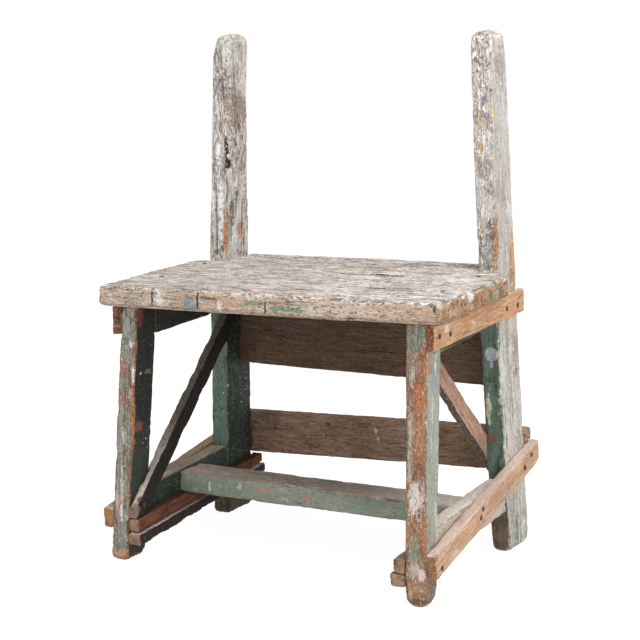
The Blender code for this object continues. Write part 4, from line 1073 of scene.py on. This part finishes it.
# near-black coat on the inner face: dark green paint with painted shade from the seat above it; the next
# coat makes its lower part lighter green
finish.coat((28, 30, 24), (22, 24, 18), 0.95, 26, inner, 0.3)
half = finish.both(inner, finish.up_to(0.20, 0.05))
finish.coat((54, 64, 52), (42, 50, 40), 0.8, 26, half, 0.3)
foot = finish.both(inner, finish.up_to(0.03))
finish.coat((52, 44, 34), (40, 36, 28), 0.8, 60, foot, 0.6)
toe = finish.both(front, finish.up_to(0.02))
finish.coat((190, 148, 108), (160, 122, 88), 0.75, 50, toe, 0.6)
finish.worn_corners((184, 128, 92), 0.85, 0.15)
finish.dabs()
finish.mottle((88, 76, 64), (222, 218, 206), 0.55, 0.5, 0.5, front)
finish.mottle((36, 42, 34), (120, 132, 116), 0.5, 0.25, 0.3, inner)
finish.checks(0.6).specks((222, 220, 210), 0.05, 130.0)
finish.done(leg_left, 0.9, 0.0016)
print("left leg:", len(leg_left.data.polygons), "faces")

# %% [markdown]
# The right leg is bare orange-brown down the middle of its front, and its outer side is pale green,
# brown near the floor.

# %% Right front leg
leg_right = weathered(
    "front_leg_right", skin=0.0020, bite=0.005, seed=29,
    smooth=((worn_foot("front_leg_right", 0.024), 70),),
)
finish = Finish(
    "leg_right_paint", "front_leg_right", 5.0, (138, 100, 76), (190, 150, 118), 0.3, 0.6
)
side = finish.facing("right")
front = finish.facing("front")
inner = finish.facing("left", "back")
finish.coat((168, 172, 158), (146, 154, 140), 0.90, 34, side, 0.12)
finish.coat((226, 224, 216), (208, 206, 196), 0.40, 60, side, 0.1, rim=0.6)
foot = finish.both(side, finish.up_to(0.09, 0.03, 0.06))
finish.coat((132, 96, 70), (152, 114, 86), 0.8, 40, foot, 0.3)
finish.coat((186, 160, 140), (166, 136, 116), 0.46, 44, front, 0.35)
finish.coat((132, 142, 122), (116, 128, 108), 0.26, 34, front, 0.35)
finish.coat((178, 112, 74), (150, 96, 68), 0.36, 34, front, 0.35)
finish.coat((232, 226, 219), (214, 205, 196), 0.22, 90, front, 0.35, rim=0.8)
finish.coat((60, 72, 60), (50, 60, 48), 0.94, 26, inner, 0.3)
finish.worn_corners((188, 140, 104), 0.8, 0.1)
finish.dabs()
finish.mottle((96, 70, 54), (228, 220, 208), 0.55, 0.5, 0.4, front)
finish.mottle((116, 112, 100), (234, 232, 224), 0.5, 0.5, 0.4, side)
finish.checks(0.6).specks((222, 220, 210), 0.04, 130.0)
finish.done(leg_right, 0.9, 0.0014)
print("right leg:", len(leg_right.data.polygons), "faces")

# %% [markdown]
# ## Green rails, aprons and stretcher
# These are sheltered, so most of their dark green paint is left. The tops of the lower rails and
# the stretcher, where boots have rested, are rubbed grey and brown. A row gives the seed, the two
# colours of the paint, and how much of it is rubbed off on top. For both aprons and the left rail
# these colours are darker, with painted shade, as those parts lie in shade under the seat.

# %% Green members
GREEN = {
    # the greens of both aprons and of the left rail hold painted shade from the seat
    "upper_apron_left": (31, (44, 50, 40), (34, 40, 32), 0.0),
    "upper_apron_right": (37, (54, 62, 52), (44, 52, 42), 0.0),
    "lower_rail_left": (41, (56, 68, 58), (42, 52, 42), 0.9),
    "lower_rail_right": (43, (106, 124, 110), (84, 100, 88), 1.0),
    "cross_stretcher": (47, (150, 160, 146), (128, 138, 124), 0.94),
}
green_pieces = {}
for name, (seed, colour, other, rubbed) in GREEN.items():
    piece = weathered(name, seed=seed)
    finish = Finish(name + "_paint", name, seed * 0.3, (120, 92, 72), (172, 142, 118), 0.2, 0.6)
    finish.coat(colour, other, 0.90, 26, 1.0, 0.3)
    if rubbed:
        top = finish.facing("top")
        finish.coat((196, 182, 168), (166, 150, 134), rubbed, 24, top, 0.25, -0.1, 0.8)
        pale = 0.9 if name == "lower_rail_right" else 0.4
        finish.coat((230, 220, 211), (212, 200, 189), pale, 60, top, 0.2, 0.1, 0.8)
    if name == "lower_rail_right":
        outer = finish.facing("right")
        finish.coat((216, 203, 190), (194, 179, 164), 0.97, 24, outer, 0.15, -0.1, 0.8)
    if name == "cross_stretcher":
        right = finish.both(top, finish.within("X", 0.10, 0.4, 0.03, 0.05))
        finish.coat((226, 218, 208), (206, 196, 184), 0.9, 24, right, 0.15, 0.1, 0.8)
    finish.worn_corners((186, 150, 120), 0.7 if name != "upper_apron_left" else 0.2, 0.15)
    finish.dabs()
    dark = [value * 0.6 for value in colour]
    finish.mottle(dark, (196, 198, 184), 0.5, 0.3 if rubbed else 0.1, 0.3)
    finish.checks(0.8).specks((214, 214, 200), 0.12 if rubbed else 0.03, 120.0)
    green_pieces[name] = finish.done(piece)
print("green members:", ", ".join(green_pieces))

# %% [markdown]
# ## Battens, strips, boards and braces
# The outer battens are raw, light orange-brown timber. The strips inside the legs and the boards
# between the posts are old, dark brown and unpainted. The braces are sawn slats of the same age.
# The lower left strip and the left brace are near black: their wood with painted shade, as their
# inner faces lie in shade under the seat. A row gives the seed, the dark and light colour of the
# wood, and how much figure it shows.

# %% Colours of the bare timbers
RAW = {
    "upper_batten_left": (53, (132, 92, 68), (180, 136, 106), 0.4),
    "upper_batten_right": (59, (192, 142, 104), (226, 182, 146), 0.25),
    "lower_batten_left": (61, (146, 112, 84), (196, 160, 128), 0.4),
    "lower_batten_right": (67, (182, 142, 112), (218, 184, 154), 0.2),
    "upper_strip_left": (71, (84, 49, 33), (130, 80, 54), 0.3),
    "upper_strip_right": (73, (96, 70, 54), (136, 106, 86), 0.3),
    # near black: its wood with painted shade from under the seat
    "lower_strip_left": (79, (34, 27, 24), (60, 46, 38), 0.3),
    "lower_strip_right": (83, (96, 70, 54), (136, 106, 86), 0.3),
    # near black: its wood with painted shade from under the seat
    "brace_left": (89, (28, 22, 19), (46, 37, 32), 0.3),
    "brace_right": (97, (164, 130, 110), (206, 172, 150), 0.3),
    "upper_back_board": (101, (90, 70, 56), (122, 98, 80), 0.4),
    "lower_back_board": (103, (138, 110, 92), (184, 154, 130), 0.5),
}
# colours of top faces: dust and weathering, and painted light on the tops of lower_strip_left and
# brace_left. The top of upper_strip_left is darker instead: painted shadow of the stretcher and the rail
# above it.
TOPS = {
    "lower_batten_right": (212, 190, 176), "upper_strip_left": (78, 52, 40),
    "lower_strip_left": (210, 198, 188), "brace_left": (112, 104, 96),
    "lower_batten_left": (186, 164, 140), "upper_strip_right": (150, 126, 106),
}
# the underside of the right brace is painted darker: painted shade
UNDERS = {"brace_right": (74, 56, 50)}
ENDS = {
    "upper_strip_left": (158, 126, 104), "lower_strip_left": (156, 124, 100),
    "upper_strip_right": (160, 132, 108), "lower_strip_right": (156, 128, 104),
    "lower_batten_right": (146, 106, 74), "lower_batten_left": (168, 120, 76),
    "upper_batten_right": (150, 86, 54), "upper_batten_left": (140, 88, 66),
}
# depth of the swells where it isn't the usual one
SWELLS = {"brace_left": 0.0007, "brace_right": 0.0011, "upper_batten_right": 0.0012}
print(len(RAW), "bare timbers")

# %% [markdown]
# One loop dresses them all: tops with dust and painted light, and one top with painted shadow,
# end grain, and rings round the nails of the battens.

# %% Bare timbers
DARKER, PALER, PALEST = 0.62, 1.12, 235
TOP_SHADE, END_SHADE = 0.86, 0.72
FRESH = ("upper_batten_right", "lower_batten_right")


def back_end(name, reach):
    """A weight that grows toward the back end of a piece, for its worn top."""
    low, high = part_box(name)
    return lambda place: (place.y - high[1] + reach) / reach


ROUNDED = {"lower_batten_right": ((back_end("lower_batten_right", 0.022), 50),)}
raw_pieces = {}
for name, (seed, dark, light, figure) in RAW.items():
    piece = weathered(
        name, seed=seed, bite=0.0035, swell=SWELLS.get(name, 0.0016), smooth=ROUNDED.get(name, ()),
    )
    fresh = name in FRESH
    finish = Finish(name + "_wood", name, seed * 0.3, dark, light, figure, 0.2 if fresh else 0.5)
    deep = [value * DARKER for value in dark]
    pale = [min(PALEST, value * PALER) for value in light]
    if name in TOPS:
        colour = TOPS[name]
        other = [value * TOP_SHADE for value in colour]
        top = finish.facing("top", "front") if name == "brace_left" else finish.facing("top")
        finish.coat(colour, other, 0.85, 30, top, 0.2, 0.1, 0.85)
    if name == "brace_left":
        # the low end of the left brace's top is painted paler still: painted light
        foot = finish.both(top, finish.up_to(0.17, 0.06))
        finish.coat((206, 194, 184), (184, 170, 158), 0.9, 30, foot, 0.2, 0.1, 0.85)
        finish.wash((200, 188, 176), 0.7, foot)
    if name in UNDERS:
        finish.coat(UNDERS[name], UNDERS[name], 0.95, 30, finish.facing("under"), 0.3)
    finish.worn_corners(pale, 0.6, 0.05).checks(0.5 if fresh else 0.8)
    finish.grime(deep, 0.1 if fresh else 0.3)
    if name in ENDS:
        colour = ENDS[name]
        other = [value * END_SHADE for value in colour]
        finish.coat(colour, other, 0.9, 110, finish.facing("front"), 1.0, 0.1, 0.85)
    if "_batten_" in name:
        finish.stains(name.replace("_batten_", "_batten_nail_"))
    finish.dabs()
    finish.mottle(deep, pale, 0.3 if fresh else 0.5, 0.45, 0.25)
    raw_pieces[name] = finish.done(piece)
print("bare timbers:", ", ".join(raw_pieces))

# %% [markdown]
# ## Nails
# Hand-driven nails with flat, rusty heads. Those in the seat are flush, and the others stand a
# little proud.

# %% Nails
RUST_DARK, RUST_LIGHT = (44, 34, 30), (98, 62, 44)


def rust():
    """Rusty iron in two browns, rougher where it is lighter."""
    material, tree, shader = new_material("rusty_iron")
    place = put(tree, "TexCoord").outputs["Object"]
    blotch = ramp(tree, noise(tree, place, 900.0, 4.0), 0.4, 0.62)
    colour = blend(tree, blotch, tone(*RUST_DARK), tone(*RUST_LIGHT))
    wire(tree, shader, colour, ramp(tree, blotch, 0.0, 1.0, 0.45, 0.85), blotch, 0.6, 0.0004)
    shader.inputs["Metallic"].default_value = 0.3
    return material


IRON = rust()
nail_names = [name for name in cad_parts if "_nail_" in name]
for name in nail_names:
    nail = merged_copy(name, name + "_iron")
    nail.data.materials.append(IRON)
    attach(nail, "root")
    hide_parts(name)
print(len(nail_names), "nails")

# %% [markdown]
# ## Studio
# The photograph shows the stool alone on white, lit softly from above and a little from the right,
# so inner faces under the seat go dark. The floor and the world look white to the camera, and the
# floor still takes the stool's shadow.

# %% Lights and floor
# place, size and power
LAMPS = {
    "overhead": ((0.5, -0.5, 2.6), 1.6, 66.0),
    "front_right": ((2.7, -2.1, 1.5), 1.8, 54.0),
    "front_left": ((-2.0, -2.6, 0.9), 1.6, 18.0),
}
WORLD_LIGHT = 0.32
FLOOR_SIZE, FLOOR_LEVEL = 14, -0.0005
FLOOR_GREY, FLOOR_ROUGHNESS = 0.86, 0.9
GLOW, GLOW_SHARE = 1.24, 0.75


def lamp(name, place, size, power):
    """A square lamp that looks at the stool."""
    data = bpy.data.lights.new(name, "AREA")
    data.shape = "SQUARE"
    data.size = size
    data.energy = power
    made = bpy.data.objects.new(name, data)
    scene.collection.objects.link(made)
    made.location = place
    made.rotation_euler = (AIM - Vector(place)).to_track_quat("-Z", "Y").to_euler()


def seen_rays(tree):
    """1 for the rays of the camera, of mirrors and of glass, and 0 for those that light things."""
    path = tree.nodes.new("ShaderNodeLightPath").outputs
    total = maths(tree, "ADD", path["Is Camera Ray"], path["Is Glossy Ray"])
    return maths(tree, "ADD", total, path["Is Transmission Ray"], True)


def white_world():
    """A world that is white to the camera and lights the stool only a little."""
    world = bpy.data.worlds.new("studio")
    scene.world = world
    world.use_nodes = True
    tree = world.node_tree
    back = tree.nodes["Background"]
    level = scaled(tree, seen_rays(tree), 1 - WORLD_LIGHT, WORLD_LIGHT)
    back.inputs["Color"].default_value = (1, 1, 1, 1)
    tree.links.new(level, back.inputs["Strength"])


def pale_floor():
    """A floor that takes shadows, and that glows for seen rays until it looks white."""
    bpy.ops.object.select_all(action="DESELECT")
    bpy.ops.mesh.primitive_plane_add(size=FLOOR_SIZE, location=(0, 0, FLOOR_LEVEL))
    floor = bpy.context.object
    floor.name = "studio_floor"
    material, tree, shader = new_material("studio_floor")
    shader.inputs["Base Color"].default_value = (FLOOR_GREY, FLOOR_GREY, FLOOR_GREY, 1)
    shader.inputs["Roughness"].default_value = FLOOR_ROUGHNESS
    floor.data.materials.append(material)
    glow = tree.nodes.new("ShaderNodeEmission")
    glow.inputs["Strength"].default_value = GLOW
    share = maths(tree, "MULTIPLY", seen_rays(tree), GLOW_SHARE)
    both = tree.nodes.new("ShaderNodeMixShader")
    tree.links.new(share, both.inputs[0])
    tree.links.new(shader.outputs[0], both.inputs[1])
    tree.links.new(glow.outputs[0], both.inputs[2])
    tree.links.new(both.outputs[0], tree.nodes["Material Output"].inputs["Surface"])


for name, (place, size, power) in LAMPS.items():
    lamp(name, place, size, power)
white_world()
pale_floor()
scene.view_settings.view_transform = "Standard"
print("lamps:", ", ".join(LAMPS))
